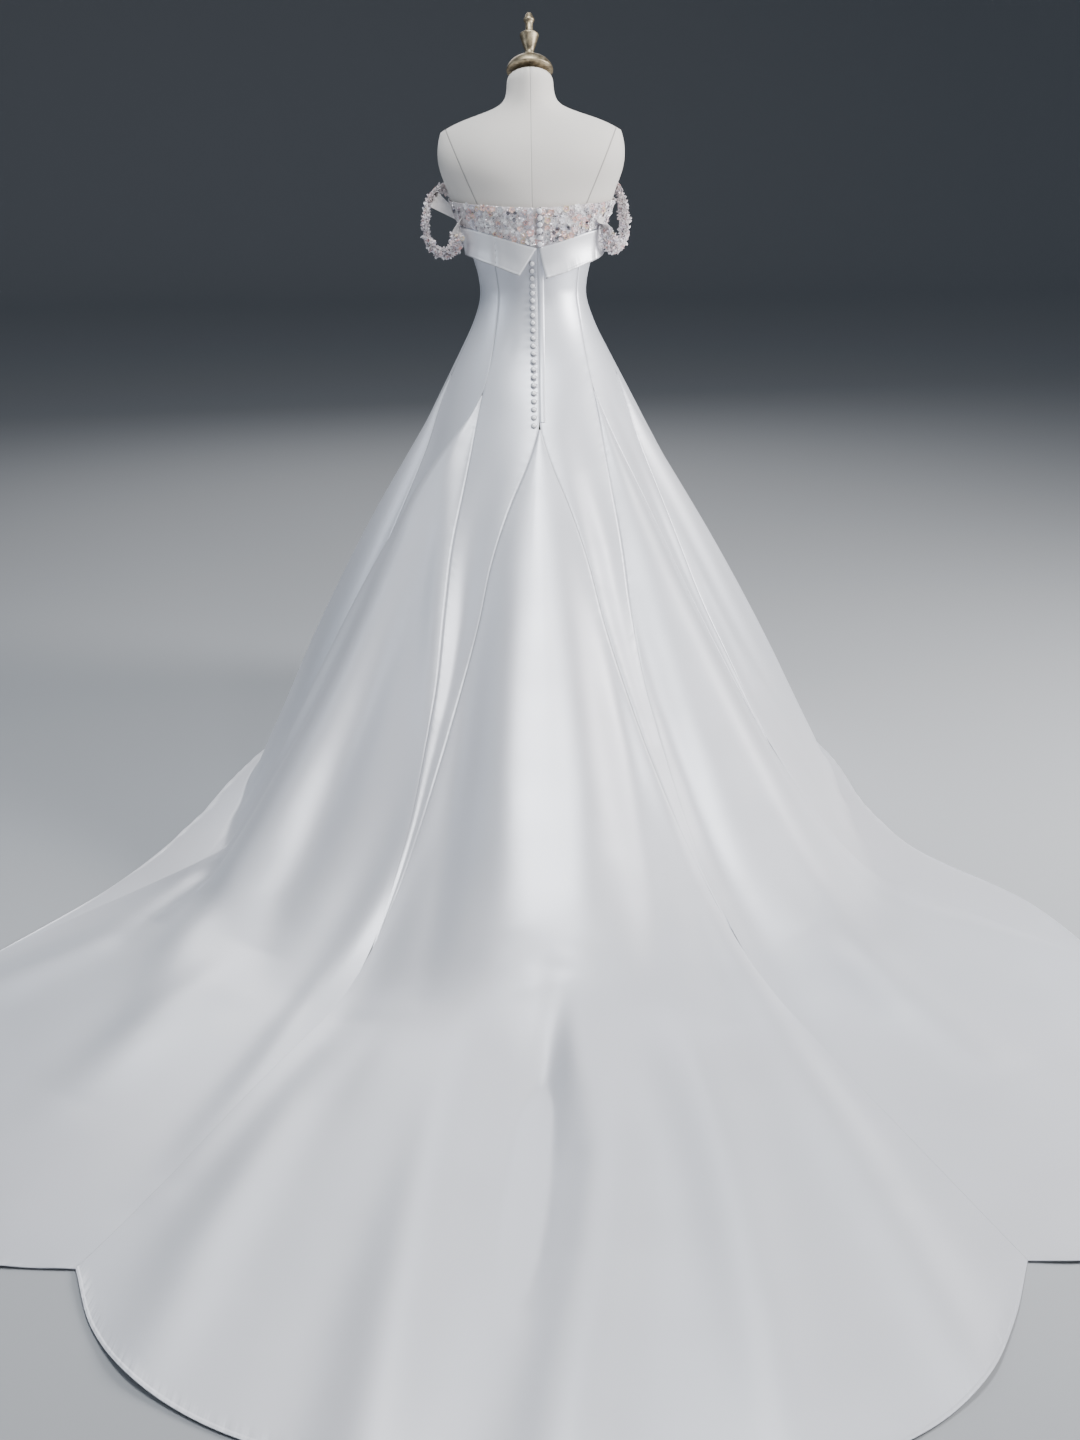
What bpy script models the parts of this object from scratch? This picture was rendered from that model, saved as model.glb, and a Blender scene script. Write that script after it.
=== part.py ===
# Wedding dress on a dress form, in metres.
# The floor is z = 0 and the form's pole stands on the origin. The train runs to +Y,
# the front is -Y, and the wearer's left is +X.
# Directions round the body are degrees from centre back, positive to the wearer's left.

import math

import bmesh
import bpy
import numpy as np
from mathutils import Matrix, Vector
from mathutils.bvhtree import BVHTree

# Cloth
WALL = 0.002
SEAM_GAP = 0.0003
HIDDEN_SEAM_GAP = 0.0006
SEAM_INSET = 0.00018

# Heights that the cut is worked out from
CHEST_HEIGHT = 1.33
HIP_HEIGHT = 1.00

# Rings of the gown from chest to hip, as cut over the form
BODICE_RINGS = [
    dict(height=1.33, side=0.190, back=0.121, front=0.140),
    dict(height=1.30, side=0.181, back=0.119, front=0.150),
    dict(height=1.26, side=0.164, back=0.114, front=0.152),
    dict(height=1.21, side=0.140, back=0.107, front=0.136),
    dict(height=1.16, side=0.1225, back=0.101, front=0.112),
    dict(height=1.115, side=0.1165, back=0.098, front=0.098),
    dict(height=1.06, side=0.131, back=0.108, front=0.104),
    dict(height=1.00, side=0.160, back=0.134, front=0.124),
]

# The skirt in each direction: where it meets the floor, how it falls, and where its hem lies
SKIRT_DIRECTIONS = [
    dict(angle=0.0, floor=1.360, fall=1.80, hem_left=2.275, hem_right=2.275),
    dict(angle=9.0, floor=1.340, fall=1.80, hem_left=2.225, hem_right=2.262),
    dict(angle=13.0, floor=1.320, fall=1.78, hem_left=2.172, hem_right=2.208),
    dict(angle=16.0, floor=1.300, fall=1.76, hem_left=2.098, hem_right=2.115),
    dict(angle=18.6, floor=1.280, fall=1.74, hem_left=1.996, hem_right=2.010),
    dict(angle=20.5, floor=1.260, fall=1.72, hem_left=2.015, hem_right=2.038),
    dict(angle=24.0, floor=1.230, fall=1.69, hem_left=2.040, hem_right=2.050),
    dict(angle=29.0, floor=1.180, fall=1.64, hem_left=1.970, hem_right=1.970),
    dict(angle=35.0, floor=1.110, fall=1.57, hem_left=1.800, hem_right=1.800),
    dict(angle=40.0, floor=1.040, fall=1.50, hem_left=1.640, hem_right=1.620),
    dict(angle=42.0, floor=1.010, fall=1.48, hem_left=1.580, hem_right=1.540),
    dict(angle=45.0, floor=0.970, fall=1.44, hem_left=1.520, hem_right=1.480),
    dict(angle=48.0, floor=0.930, fall=1.40, hem_left=1.360, hem_right=1.290),
    dict(angle=50.0, floor=0.900, fall=1.37, hem_left=1.180, hem_right=1.110),
    dict(angle=52.0, floor=0.870, fall=1.34, hem_left=1.095, hem_right=1.020),
    dict(angle=55.0, floor=0.840, fall=1.30, hem_left=1.015, hem_right=0.945),
    dict(angle=60.0, floor=0.800, fall=1.23, hem_left=0.925, hem_right=0.865),
    dict(angle=69.0, floor=0.740, fall=1.13, hem_left=0.820, hem_right=0.780),
    dict(angle=90.0, floor=0.690, fall=1.02, hem_left=0.712, hem_right=0.705),
    dict(angle=120.0, floor=0.645, fall=1.00, hem_left=0.655, hem_right=0.655),
    dict(angle=150.0, floor=0.610, fall=1.00, hem_left=0.620, hem_right=0.620),
    dict(angle=180.0, floor=0.595, fall=1.00, hem_left=0.605, hem_right=0.605),
]

# Seams on each side, in degrees from centre back, at each stage of the drop.
# The drop is 0 at the chest, 1 at the hip, 2 where the cloth meets the floor and 3 at the hem.
SEAMS_LEFT = [
    dict(drop=0.000, back=0.0, princess=52.0, side_back=52.0, side=86.0, side_front=86.0, front=146.0),
    dict(drop=0.430, back=0.0, princess=52.0, side_back=52.0, side=86.0, side_front=86.0, front=147.0),
    dict(drop=0.660, back=0.0, princess=51.0, side_back=51.0, side=87.0, side_front=87.0, front=150.0),
    dict(drop=1.000, back=0.0, princess=43.5, side_back=43.5, side=84.0, side_front=84.0, front=151.0),
    dict(drop=1.060, back=0.0, princess=38.0, side_back=38.6, side=80.4, side_front=81.2, front=151.0),
    dict(drop=1.090, back=0.5, princess=35.4, side_back=41.4, side=78.0, side_front=81.8, front=151.0),
    dict(drop=1.130, back=5.0, princess=32.2, side_back=46.4, side=74.2, side_front=83.0, front=151.0),
    dict(drop=1.180, back=10.0, princess=29.5, side_back=52.0, side=70.5, side_front=84.5, front=151.0),
    dict(drop=1.250, back=13.0, princess=26.6, side_back=57.0, side=68.2, side_front=87.0, front=150.5),
    dict(drop=1.330, back=13.6, princess=22.8, side_back=60.0, side=67.0, side_front=90.0, front=150.0),
    dict(drop=1.430, back=14.7, princess=19.6, side_back=61.5, side=65.6, side_front=93.0, front=150.0),
    dict(drop=1.530, back=15.3, princess=18.2, side_back=61.0, side=63.6, side_front=95.5, front=150.0),
    dict(drop=1.640, back=15.6, princess=17.0, side_back=59.5, side=60.2, side_front=97.5, front=149.5),
    dict(drop=1.730, back=15.8, princess=16.6, side_back=58.0, side=58.0, side_front=99.0, front=149.5),
    dict(drop=1.810, back=16.0, princess=16.3, side_back=56.5, side=56.5, side_front=100.0, front=149.0),
    dict(drop=1.900, back=16.3, princess=16.3, side_back=54.5, side=54.5, side_front=100.0, front=149.0),
    dict(drop=2.000, back=16.6, princess=16.6, side_back=52.0, side=52.0, side_front=100.0, front=149.0),
    dict(drop=3.000, back=18.6, princess=18.6, side_back=45.0, side=45.0, side_front=100.0, front=149.0),
]
SEAMS_RIGHT = [
    dict(drop=0.000, back=0.0, princess=52.0, side_back=52.0, side=86.0, side_front=86.0, front=146.0),
    dict(drop=0.430, back=0.0, princess=52.0, side_back=52.0, side=86.0, side_front=86.0, front=147.0),
    dict(drop=0.660, back=0.0, princess=53.0, side_back=53.0, side=87.0, side_front=87.0, front=150.0),
    dict(drop=1.000, back=0.0, princess=44.5, side_back=44.5, side=79.0, side_front=79.0, front=151.0),
    dict(drop=1.060, back=0.0, princess=38.4, side_back=39.0, side=72.2, side_front=73.0, front=151.0),
    dict(drop=1.090, back=0.5, princess=35.2, side_back=39.6, side=68.4, side_front=73.4, front=151.0),
    dict(drop=1.130, back=5.0, princess=31.8, side_back=41.0, side=64.8, side_front=75.2, front=151.0),
    dict(drop=1.180, back=10.0, princess=29.0, side_back=43.0, side=62.0, side_front=78.0, front=151.0),
    dict(drop=1.250, back=13.4, princess=26.2, side_back=45.0, side=59.5, side_front=81.5, front=150.5),
    dict(drop=1.330, back=14.6, princess=23.0, side_back=46.0, side=56.0, side_front=85.0, front=150.0),
    dict(drop=1.430, back=15.9, princess=20.6, side_back=46.6, side=52.0, side_front=89.0, front=150.0),
    dict(drop=1.530, back=16.7, princess=19.6, side_back=46.4, side=49.6, side_front=92.0, front=150.0),
    dict(drop=1.640, back=17.4, princess=18.9, side_back=45.6, side=46.2, side_front=94.5, front=149.5),
    dict(drop=1.730, back=17.9, princess=18.6, side_back=45.3, side=45.3, side_front=96.5, front=149.5),
    dict(drop=1.810, back=18.2, princess=18.5, side_back=44.9, side=44.9, side_front=98.0, front=149.0),
    dict(drop=1.900, back=18.4, princess=18.4, side_back=44.4, side=44.4, side_front=99.0, front=149.0),
    dict(drop=2.000, back=18.5, princess=18.5, side_back=43.8, side=43.8, side_front=100.0, front=149.0),
    dict(drop=3.000, back=18.6, princess=18.6, side_back=42.0, side=42.0, side_front=100.0, front=149.0),
]
BACK_GORE_START = 1.09
SIDE_GORE_START = 1.06
BACK_TIP = 1.81
SIDE_BACK_TIP = 1.64

# The closing sits a little to the wearer's right of the body's middle
CLOSING_OFFSET = 0.0105
TURN_FADE_START = 1.0
TURN_FADE_END = 1.4

# Rows of the cloth at which every panel has its points
BODICE_ROWS = [0.43, 0.55, 0.66, 0.78, 0.89, 1.0]
HANGING_ROWS = [1.06, 1.09, 1.13, 1.18, 1.25, 1.33, 1.43, 1.53, 1.64, 1.73, 1.81, 1.9, 2.0]
FLOOR_ROWS = [2.15, 2.35, 2.6, 2.85, 3.0]

# How far each gore swells outwards and each panel between two gores sinks in
FOLD_STAGES = [
    dict(drop=1.05, back=0.000, back_left=0.000, back_right=0.000, side=0.000, hollow=0.000),
    dict(drop=1.13, back=0.003, back_left=0.020, back_right=0.008, side=0.006, hollow=0.002),
    dict(drop=1.25, back=0.014, back_left=0.044, back_right=0.018, side=0.012, hollow=0.005),
    dict(drop=1.43, back=0.034, back_left=0.058, back_right=0.034, side=0.018, hollow=0.009),
    dict(drop=1.65, back=0.050, back_left=0.062, back_right=0.046, side=0.018, hollow=0.008),
    dict(drop=1.85, back=0.052, back_left=0.058, back_right=0.048, side=0.010, hollow=0.000),
    dict(drop=2.05, back=0.044, back_left=0.046, back_right=0.042, side=0.003, hollow=0.000),
    dict(drop=2.40, back=0.026, back_left=0.024, back_right=0.024, side=0.002, hollow=0.000),
    dict(drop=2.75, back=0.010, back_left=0.010, back_right=0.010, side=0.001, hollow=0.000),
    dict(drop=3.00, back=0.000, back_left=0.000, back_right=0.000, side=0.000, hollow=0.000),
]
SWELL_ROUNDNESS = 1.25
CREST_LEAN = 0.35
LEAN_FADE_START = 1.6
LEAN_FADE_END = 1.95
HOLLOW_LIMIT = 0.08
SWELL_LIMIT = 0.30
NARROW_ROW = 0.03
WIDE_ROW = 0.09
FOLD_STEP = 0.02
TRAIN_HOLLOW_START = 1.85
TRAIN_HOLLOW_FULL = 2.25

# Edges round the chest: the satin's top, the yoke's top, and the turned-down cuff's lower edge
NECKLINE = [
    dict(angle=0.0, satin=1.214, yoke=1.297, cuff=1.147),
    dict(angle=25.0, satin=1.228, yoke=1.299, cuff=1.160),
    dict(angle=55.0, satin=1.247, yoke=1.304, cuff=1.184),
    dict(angle=88.0, satin=1.262, yoke=1.311, cuff=1.203),
    dict(angle=125.0, satin=1.268, yoke=1.322, cuff=1.204),
    dict(angle=152.0, satin=1.262, yoke=1.322, cuff=1.192),
    dict(angle=180.0, satin=1.236, yoke=1.286, cuff=1.166),
]
YOKE_SIDE_ANGLE = 86.0
YOKE_SIDE_GAP = 0.25
CUFF_SIDE_GAP = 0.5

# Turned-down cuff
CUFF_TOP_DROP = 0.0012
CUFF_STAND_TOP = 0.0009
CUFF_STAND_LOW = {"left": 0.009, "right": 0.015, "front": 0.010}
CUFF_LEFT_END = dict(top=1.2, low=21.0)
CUFF_RIGHT_END = dict(top=1.2, low=8.0)

# Raised blossoms of the yoke
BLOSSOM_RADIUS = 0.0125
BLOSSOM_HEIGHT = 0.0042
BLOSSOM_PITCH = 0.0235
STRAP_LANDING = 26.0
LANDING_FADE = 6.0
YOKE_DROP = 0.15
PLACKET_OVERLAP = 0.0022
SCALLOPS = 6
SCALLOP_DEPTH = 0.0028

# Covered buttons
BUTTON_COUNT = 22
BUTTON_RADIUS = 0.0064
BUTTON_HEIGHT = 0.0046
BUTTON_TOP_HEIGHT = 1.182
BUTTON_LOW_HEIGHT = 0.852
BUTTON_OFFSET = 0.0125
BUTTON_SIDES = 8
BUTTON_FOOT = 0.72
BUTTON_SHOULDER = 0.35
BUTTON_CROWN = 0.52
BUTTON_RAY = 0.05

# Off-shoulder straps, each a ribbon from the front corner of the yoke to its back corner.
# A route's rows lie between the two ends, which are set on the yoke.
STRAP_WIDTH = 0.026
STRAP_WALL = 0.0018
STRAP_STATIONS = 31
STRAP_SEAT = 0.0005
STRAP_ENDS = {
    "left": dict(front=108.0, front_height=1.300, back=74.0, back_height=1.276),
    "right": dict(front=-104.0, front_height=1.300, back=-68.0, back_height=1.276),
}
STRAP_ROUTES = {
    "left": [
        dict(x=0.199, y=-0.074, z=1.334),
        dict(x=0.227, y=-0.040, z=1.306),
        dict(x=0.235, y=-0.004, z=1.262),
        dict(x=0.224, y=0.022, z=1.223),
        dict(x=0.196, y=0.040, z=1.205),
        dict(x=0.174, y=0.052, z=1.214),
        dict(x=0.166, y=0.059, z=1.240),
    ],
    "right": [
        dict(x=-0.187, y=-0.078, z=1.332),
        dict(x=-0.199, y=-0.050, z=1.300),
        dict(x=-0.203, y=-0.018, z=1.254),
        dict(x=-0.198, y=0.012, z=1.222),
        dict(x=-0.184, y=0.038, z=1.208),
        dict(x=-0.171, y=0.053, z=1.214),
        dict(x=-0.164, y=0.061, z=1.240),
    ],
}
STRAP_CENTRES = {"left": Vector((0.204, -0.008, 1.262)), "right": Vector((-0.180, -0.012, 1.262))}
STRAP_STEPS = 400
STRAP_SETTLE = 0.12
WEB_ANGLE = 80.0
WEB_TOP = 1.304
WEB_HEIGHT = 0.030
WEB_START = 0.20
WEB_END = 0.33

# Fringe of petals on the outside of each strap
FRINGE_WIDTH = 0.016
FRINGE_WALL = 0.0012
FRINGE_SEAT = 0.0006
FRINGE_FIRST = 4
FRINGE_LAST = 26
LOCK_LENGTH = 0.008
LOCK_VARIATION = 0.003
LOCK_LEAN = 0.004
LOCK_INSET = 0.0012
LOCK_SHORTEST = 0.35
LOCK_TAPER = 0.2
GOLDEN_TURN = 2.399963

# Dress form: rings from the hips to the top of the neck
FORM_SIDES = 22
FORM_RINGS = [
    dict(height=0.860, side=0.138, back=0.104, front=0.098, squareness=2.0, shift=0.0),
    dict(height=0.930, side=0.150, back=0.112, front=0.102, squareness=2.0, shift=0.0),
    dict(height=1.000, side=0.146, back=0.110, front=0.101, squareness=2.0, shift=0.0),
    dict(height=1.060, side=0.1238, back=0.0990, front=0.0955, squareness=2.0, shift=0.0),
    dict(height=1.115, side=0.1126, back=0.0948, front=0.0948, squareness=2.0, shift=0.0),
    dict(height=1.160, side=0.1185, back=0.0970, front=0.1080, squareness=2.0, shift=0.0),
    dict(height=1.210, side=0.1355, back=0.1025, front=0.1315, squareness=2.0, shift=0.0),
    dict(height=1.260, side=0.1590, back=0.1090, front=0.1470, squareness=2.0, shift=0.0),
    dict(height=1.300, side=0.1755, back=0.1135, front=0.1440, squareness=2.0, shift=0.0),
    dict(height=1.335, side=0.1850, back=0.1150, front=0.1330, squareness=2.0, shift=0.0),
    dict(height=1.375, side=0.2030, back=0.1130, front=0.1180, squareness=2.5, shift=0.0),
    dict(height=1.420, side=0.2050, back=0.1020, front=0.0980, squareness=2.6, shift=0.0),
    dict(height=1.452, side=0.1960, back=0.0850, front=0.0780, squareness=2.3, shift=-0.002),
    dict(height=1.472, side=0.1600, back=0.0720, front=0.0680, squareness=2.1, shift=-0.004),
    dict(height=1.489, side=0.1050, back=0.0620, front=0.0640, squareness=2.0, shift=-0.006),
    dict(height=1.504, side=0.0640, back=0.0550, front=0.0580, squareness=2.0, shift=-0.008),
    dict(height=1.522, side=0.0525, back=0.0520, front=0.0540, squareness=2.0, shift=-0.011),
    dict(height=1.545, side=0.0500, back=0.0500, front=0.0510, squareness=2.0, shift=-0.014),
]
NECK_TOP_HEIGHT = 1.573
NECK_TOP_SHIFT = -0.018
NECK_RADIUS = 0.0495
NECK_SLOPE = math.radians(26.0)

CAP_PROFILE = [
    dict(radius=0.0500, rise=0.0000),
    dict(radius=0.0508, rise=0.0015),
    dict(radius=0.0502, rise=0.0050),
    dict(radius=0.0465, rise=0.0130),
    dict(radius=0.0390, rise=0.0210),
    dict(radius=0.0285, rise=0.0275),
    dict(radius=0.0170, rise=0.0315),
    dict(radius=0.0120, rise=0.0325),
]
CAP_SIDES = 24
FINIAL_PROFILE = [
    dict(radius=0.0118, rise=0.0000),
    dict(radius=0.0085, rise=0.0030),
    dict(radius=0.0108, rise=0.0065),
    dict(radius=0.0085, rise=0.0100),
    dict(radius=0.0098, rise=0.0150),
    dict(radius=0.0150, rise=0.0280),
    dict(radius=0.0190, rise=0.0430),
    dict(radius=0.0212, rise=0.0490),
    dict(radius=0.0195, rise=0.0515),
    dict(radius=0.0095, rise=0.0555),
    dict(radius=0.0084, rise=0.0600),
    dict(radius=0.0072, rise=0.0780),
    dict(radius=0.0110, rise=0.0800),
    dict(radius=0.0126, rise=0.0850),
    dict(radius=0.0088, rise=0.0905),
    dict(radius=0.0073, rise=0.0960),
    dict(radius=0.0040, rise=0.1010),
]
FINIAL_SIDES = 12

POLE_RADIUS = 0.016
POLE_SIDES = 16
BASE_PROFILE = [
    dict(radius=0.180, rise=0.0000),
    dict(radius=0.185, rise=0.0040),
    dict(radius=0.183, rise=0.0120),
    dict(radius=0.172, rise=0.0165),
    dict(radius=0.060, rise=0.0210),
]
BASE_SIDES = 32
SEAT_GAP = 0.0003
SHARP_ANGLE = math.radians(50.0)


class Curve:
    # A smooth line through two columns of a table, which never overshoots a row.
    def __init__(self, table, across, up):
        self.places = [row[across] for row in table]
        self.values = [row[up] for row in table]
        steps = [b - a for a, b in zip(self.places, self.places[1:])]
        rises = [(b - a) / step for a, b, step in zip(self.values, self.values[1:], steps)]
        self.slopes = [rises[0]]
        for before, after in zip(rises, rises[1:]):
            turns = before * after <= 0
            self.slopes.append(0.0 if turns else 2 * before * after / (before + after))
        self.slopes.append(rises[-1])

    def __call__(self, place):
        place = min(max(place, self.places[0]), self.places[-1])
        row = max(i for i in range(len(self.places) - 1) if i == 0 or self.places[i] <= place)
        step = self.places[row + 1] - self.places[row]
        part = (place - self.places[row]) / step
        rest = 1 - part
        start, end = self.values[row], self.values[row + 1]
        start_pull = self.slopes[row] * step
        end_pull = self.slopes[row + 1] * step
        return (
            start * (1 + 2 * part) * rest**2
            + start_pull * part * rest**2
            + end * part**2 * (3 - 2 * part)
            - end_pull * part**2 * rest
        )


def columns(table, across):
    return {name: Curve(table, across, name) for name in table[0] if name != across}


bodice = columns(BODICE_RINGS[::-1], "height")
skirt = columns(SKIRT_DIRECTIONS, "angle")
seams_left = columns(SEAMS_LEFT, "drop")
seams_right = columns(SEAMS_RIGHT, "drop")
folds = columns(FOLD_STAGES, "drop")
neckline = columns(NECKLINE, "angle")


def ease(start, end, value):
    part = min(max((value - start) / (end - start), 0.0), 1.0)
    return part * part * (3 - 2 * part)


def signed(angle):
    return (angle + 180.0) % 360.0 - 180.0


def body_turn(drop):
    # How far the cut is turned round the body at a drop.
    turn = math.degrees(math.asin(CLOSING_OFFSET / fall_point(0.0, drop)[0]))
    return -turn * (1 - ease(TURN_FADE_START, TURN_FADE_END, drop))


def ring_radius(angle, height):
    depth = bodice["back"] if abs(signed(angle)) < 90 else bodice["front"]
    across = math.sin(math.radians(angle)) / bodice["side"](height)
    along = math.cos(math.radians(angle)) / depth(height)
    return 1 / math.hypot(across, along)


def fall_point(angle, drop):
    # (radius, height) of the smooth cloth, before its folds.
    if drop < 1:
        height = CHEST_HEIGHT + (HIP_HEIGHT - CHEST_HEIGHT) * drop
        return ring_radius(angle, height), height
    way = abs(signed(angle))
    hem = skirt["hem_left" if signed(angle) > 0 else "hem_right"](way)
    hip = ring_radius(angle, HIP_HEIGHT)
    floor = skirt["floor"](way)
    fallen = min(drop - 1, 1.0)
    height = WALL + (HIP_HEIGHT - WALL) * (1 - fallen) ** skirt["fall"](way)
    laid = max(drop - 2, 0.0)
    return hip + (floor - hip) * fallen + (hem - floor) * laid, height


def swell(part, lean=0.0):
    # Height of a gore's round back, 0 at its two seams and 1 on its crest, which lean moves outwards.
    part = part - lean * (1 - part * part)
    return max(math.cos(math.pi / 2 * part), 0.0) ** SWELL_ROUNDNESS


def hollow_depth(angle, drop, way, low, high):
    # How far a panel between two gores sinks in, which its width limits near its tip.
    width = math.radians(high - low) * fall_point(angle, drop)[0]
    depth = min(folds["hollow"](drop), HOLLOW_LIMIT * width)
    return depth * swell(2 * (way - low) / (high - low) - 1) ** 2


def swell_height(name, angle, drop, low, high):
    # How far a gore stands out on its crest, which its width limits near its top.
    width = math.radians(high - low) * fall_point(angle, drop)[0]
    return min(folds[name](drop), SWELL_LIMIT * width)


def fold_height(angle, drop):
    # How far the cloth stands out from its smooth fall.
    if drop < FOLD_STAGES[0]["drop"]:
        return 0.0
    cut = signed(angle - body_turn(drop))
    way, left = abs(cut), cut > 0
    edge = {name: seam(drop) for name, seam in (seams_left if left else seams_right).items()}
    if way < edge["back"]:
        part = way / edge["back"]
        train = ease(TRAIN_HOLLOW_START, TRAIN_HOLLOW_FULL, drop)
        ridge = (1 - train) * swell(part) + train * math.sin(math.pi * part) ** 2
        return swell_height("back", angle, drop, -edge["back"], edge["back"]) * ridge
    if way < edge["princess"]:
        return -hollow_depth(angle, drop, way, edge["back"], edge["princess"])
    if way < edge["side_back"]:
        part = 2 * (way - edge["princess"]) / (edge["side_back"] - edge["princess"]) - 1
        name = "back_left" if left else "back_right"
        upright = ease(LEAN_FADE_START, LEAN_FADE_END, drop)
        lean = CREST_LEAN * (1 - upright) if left else 0.0
        height = swell_height(name, angle, drop, edge["princess"], edge["side_back"])
        return height * swell(part, lean)
    if way < edge["side"]:
        return -hollow_depth(angle, drop, way, edge["side_back"], edge["side"])
    if way < edge["side_front"]:
        part = 2 * (way - edge["side"]) / (edge["side_front"] - edge["side"]) - 1
        return swell_height("side", angle, drop, edge["side"], edge["side_front"]) * swell(part)
    return 0.0


def smooth_point(angle, drop):
    radius, height = fall_point(angle, drop)
    turn = math.radians(angle)
    return Vector((radius * math.sin(turn), radius * math.cos(turn), height))


def facing(surface, angle, drop, first=-360.0, last=720.0, drop_step=0.003):
    # Outward direction of a surface given by a function of direction and drop, between two edges.
    turn_step = 0.15
    across = surface(min(angle + turn_step, last), drop) - surface(max(angle - turn_step, first), drop)
    along = surface(angle, drop + drop_step) - surface(angle, drop - drop_step)
    return along.cross(across).normalized() * -1


def cloth_point(angle, drop):
    point = smooth_point(angle, drop)
    rise = fold_height(angle, drop)
    if rise:
        point = point + facing(smooth_point, angle, drop) * rise
    point.z = max(point.z, WALL)
    return point


def body_point(angle, height, stand=0.0):
    # A point of the bodice or above it, moved out by a stand.
    drop = (CHEST_HEIGHT - height) / (CHEST_HEIGHT - HIP_HEIGHT)
    return smooth_point(angle, drop) + facing(smooth_point, angle, drop) * stand


def chest_point(cut, height, stand=0.0):
    # The same in a direction of the cut.
    drop = (CHEST_HEIGHT - height) / (CHEST_HEIGHT - HIP_HEIGHT)
    return body_point(cut + body_turn(drop), height, stand)


def material(name, colour, roughness, metallic=0.0):
    made = bpy.data.materials.new(name)
    made.use_nodes = True
    shader = made.node_tree.nodes["Principled BSDF"]
    shader.inputs["Base Color"].default_value = (*colour, 1.0)
    shader.inputs["Roughness"].default_value = roughness
    shader.inputs["Metallic"].default_value = metallic
    made.diffuse_color = (*colour, 1.0)
    return made


def add_object(name, mesh, finish):
    made = bpy.data.objects.new(name, mesh)
    bpy.context.scene.collection.objects.link(made)
    mesh.materials.append(finish)
    mesh.shade_smooth()
    mesh.set_sharp_from_angle(angle=SHARP_ANGLE)
    return made


def wall_mesh(name, outer, inner):
    # A closed wall between two grids of points, with both sides cut along the same diagonals.
    rows, across = len(outer), len(outer[0])
    points = [p for row in outer for p in row] + [p for row in inner for p in row]
    back = rows * across

    def at(row, column, side):
        return side * back + row * across + column

    faces = []
    for i in range(rows - 1):
        for j in range(across - 1):
            for side in (0, 1):
                a, b = at(i, j, side), at(i, j + 1, side)
                c, d = at(i + 1, j + 1, side), at(i + 1, j, side)
                faces += [(a, b, c), (a, c, d)]
    rim = [(0, j) for j in range(across)] + [(i, across - 1) for i in range(1, rows)]
    rim += [(rows - 1, j) for j in range(across - 2, -1, -1)] + [(i, 0) for i in range(rows - 2, 0, -1)]
    for (i, j), (k, m) in zip(rim, rim[1:] + rim[:1]):
        a, b, c, d = at(i, j, 0), at(k, m, 0), at(k, m, 1), at(i, j, 1)
        faces += [(a, b, c), (a, c, d)]
    mesh = bpy.data.meshes.new(name)
    mesh.from_pydata([tuple(p) for p in points], [], faces)
    shape = bmesh.new()
    shape.from_mesh(mesh)
    bmesh.ops.recalc_face_normals(shape, faces=shape.faces)
    shape.to_mesh(mesh)
    shape.free()
    return mesh


def inset(angle, low_side, drop):
    # A seam's angle moved into the panel by half of the seam gap.
    radius = fall_point(angle, drop)[0]
    step = math.degrees(SEAM_INSET / radius)
    return angle + (step if low_side else -step)


def satin_panel(name, low, high, rows, across, finish, top=False):
    # A cloth panel between two seams, through rows of the drop.
    # With top it starts at the neckline.
    outer, inner = [], []
    if top:
        rows = [BODICE_ROWS[0] - 0.1] + rows
    for number, drop in enumerate(rows):
        turn = body_turn(drop)
        first = inset(low(drop) + turn, True, drop)
        last = inset(high(drop) + turn, False, drop)
        width = math.radians(last - first) * fall_point(first, drop)[0]
        openness = ease(NARROW_ROW, WIDE_ROW, width)
        outer_row, inner_row = [], []
        for j in range(across + 1):
            angle = first + (last - first) * j / across
            place = drop
            if top and number == 0:
                edge = neckline["satin"](abs(signed(angle - turn)))
                place = (CHEST_HEIGHT - edge) / (CHEST_HEIGHT - HIP_HEIGHT)
            point = cloth_point(angle, place)
            own = facing(cloth_point, angle, place, first, last, FOLD_STEP)
            behind = point - facing(smooth_point, angle, place).lerp(own, openness) * WALL
            behind.z = max(behind.z, 0.0)
            outer_row.append(point)
            inner_row.append(behind)
        outer.append(outer_row)
        inner.append(inner_row)
    return add_object(name, wall_mesh(name, outer, inner), finish)


def between(first, last):
    return [row for row in BODICE_ROWS + HANGING_ROWS + FLOOR_ROWS if first <= row <= last]


def add_skirt(satin):
    def side_pair(stem, low, high, rows, across, top=False):
        left_edges = seams_left[low], seams_left[high]
        right_edges = (lambda drop: -seams_right[high](drop)), (lambda drop: -seams_right[low](drop))
        satin_panel(f"{stem}_left", *left_edges, rows, across, satin, top)
        satin_panel(f"{stem}_right", *right_edges, rows, across, satin, top)

    side_pair("panel_back", "back", "princess", between(0, BACK_TIP), 6, True)
    side_pair("panel_side_back", "side_back", "side", between(0, SIDE_BACK_TIP), 5, True)
    front_rows = between(0, 2.0) + [3.0]
    side_pair("panel_side_front", "side_front", "front", front_rows, 7, True)
    front_edges = seams_left["front"], (lambda drop: 360.0 - seams_right["front"](drop))
    satin_panel("panel_front", *front_edges, front_rows, 8, satin, True)
    back_edges = (lambda drop: -seams_right["back"](drop)), seams_left["back"]
    satin_panel("gore_back", *back_edges, between(BACK_GORE_START, 3.0), 16, satin)
    gore_rows = between(SIDE_GORE_START, 3.0)
    side_pair("gore_side_back", "princess", "side_back", gore_rows, 11)
    side_pair("gore_side", "side", "side_front", gore_rows, 10)


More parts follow.
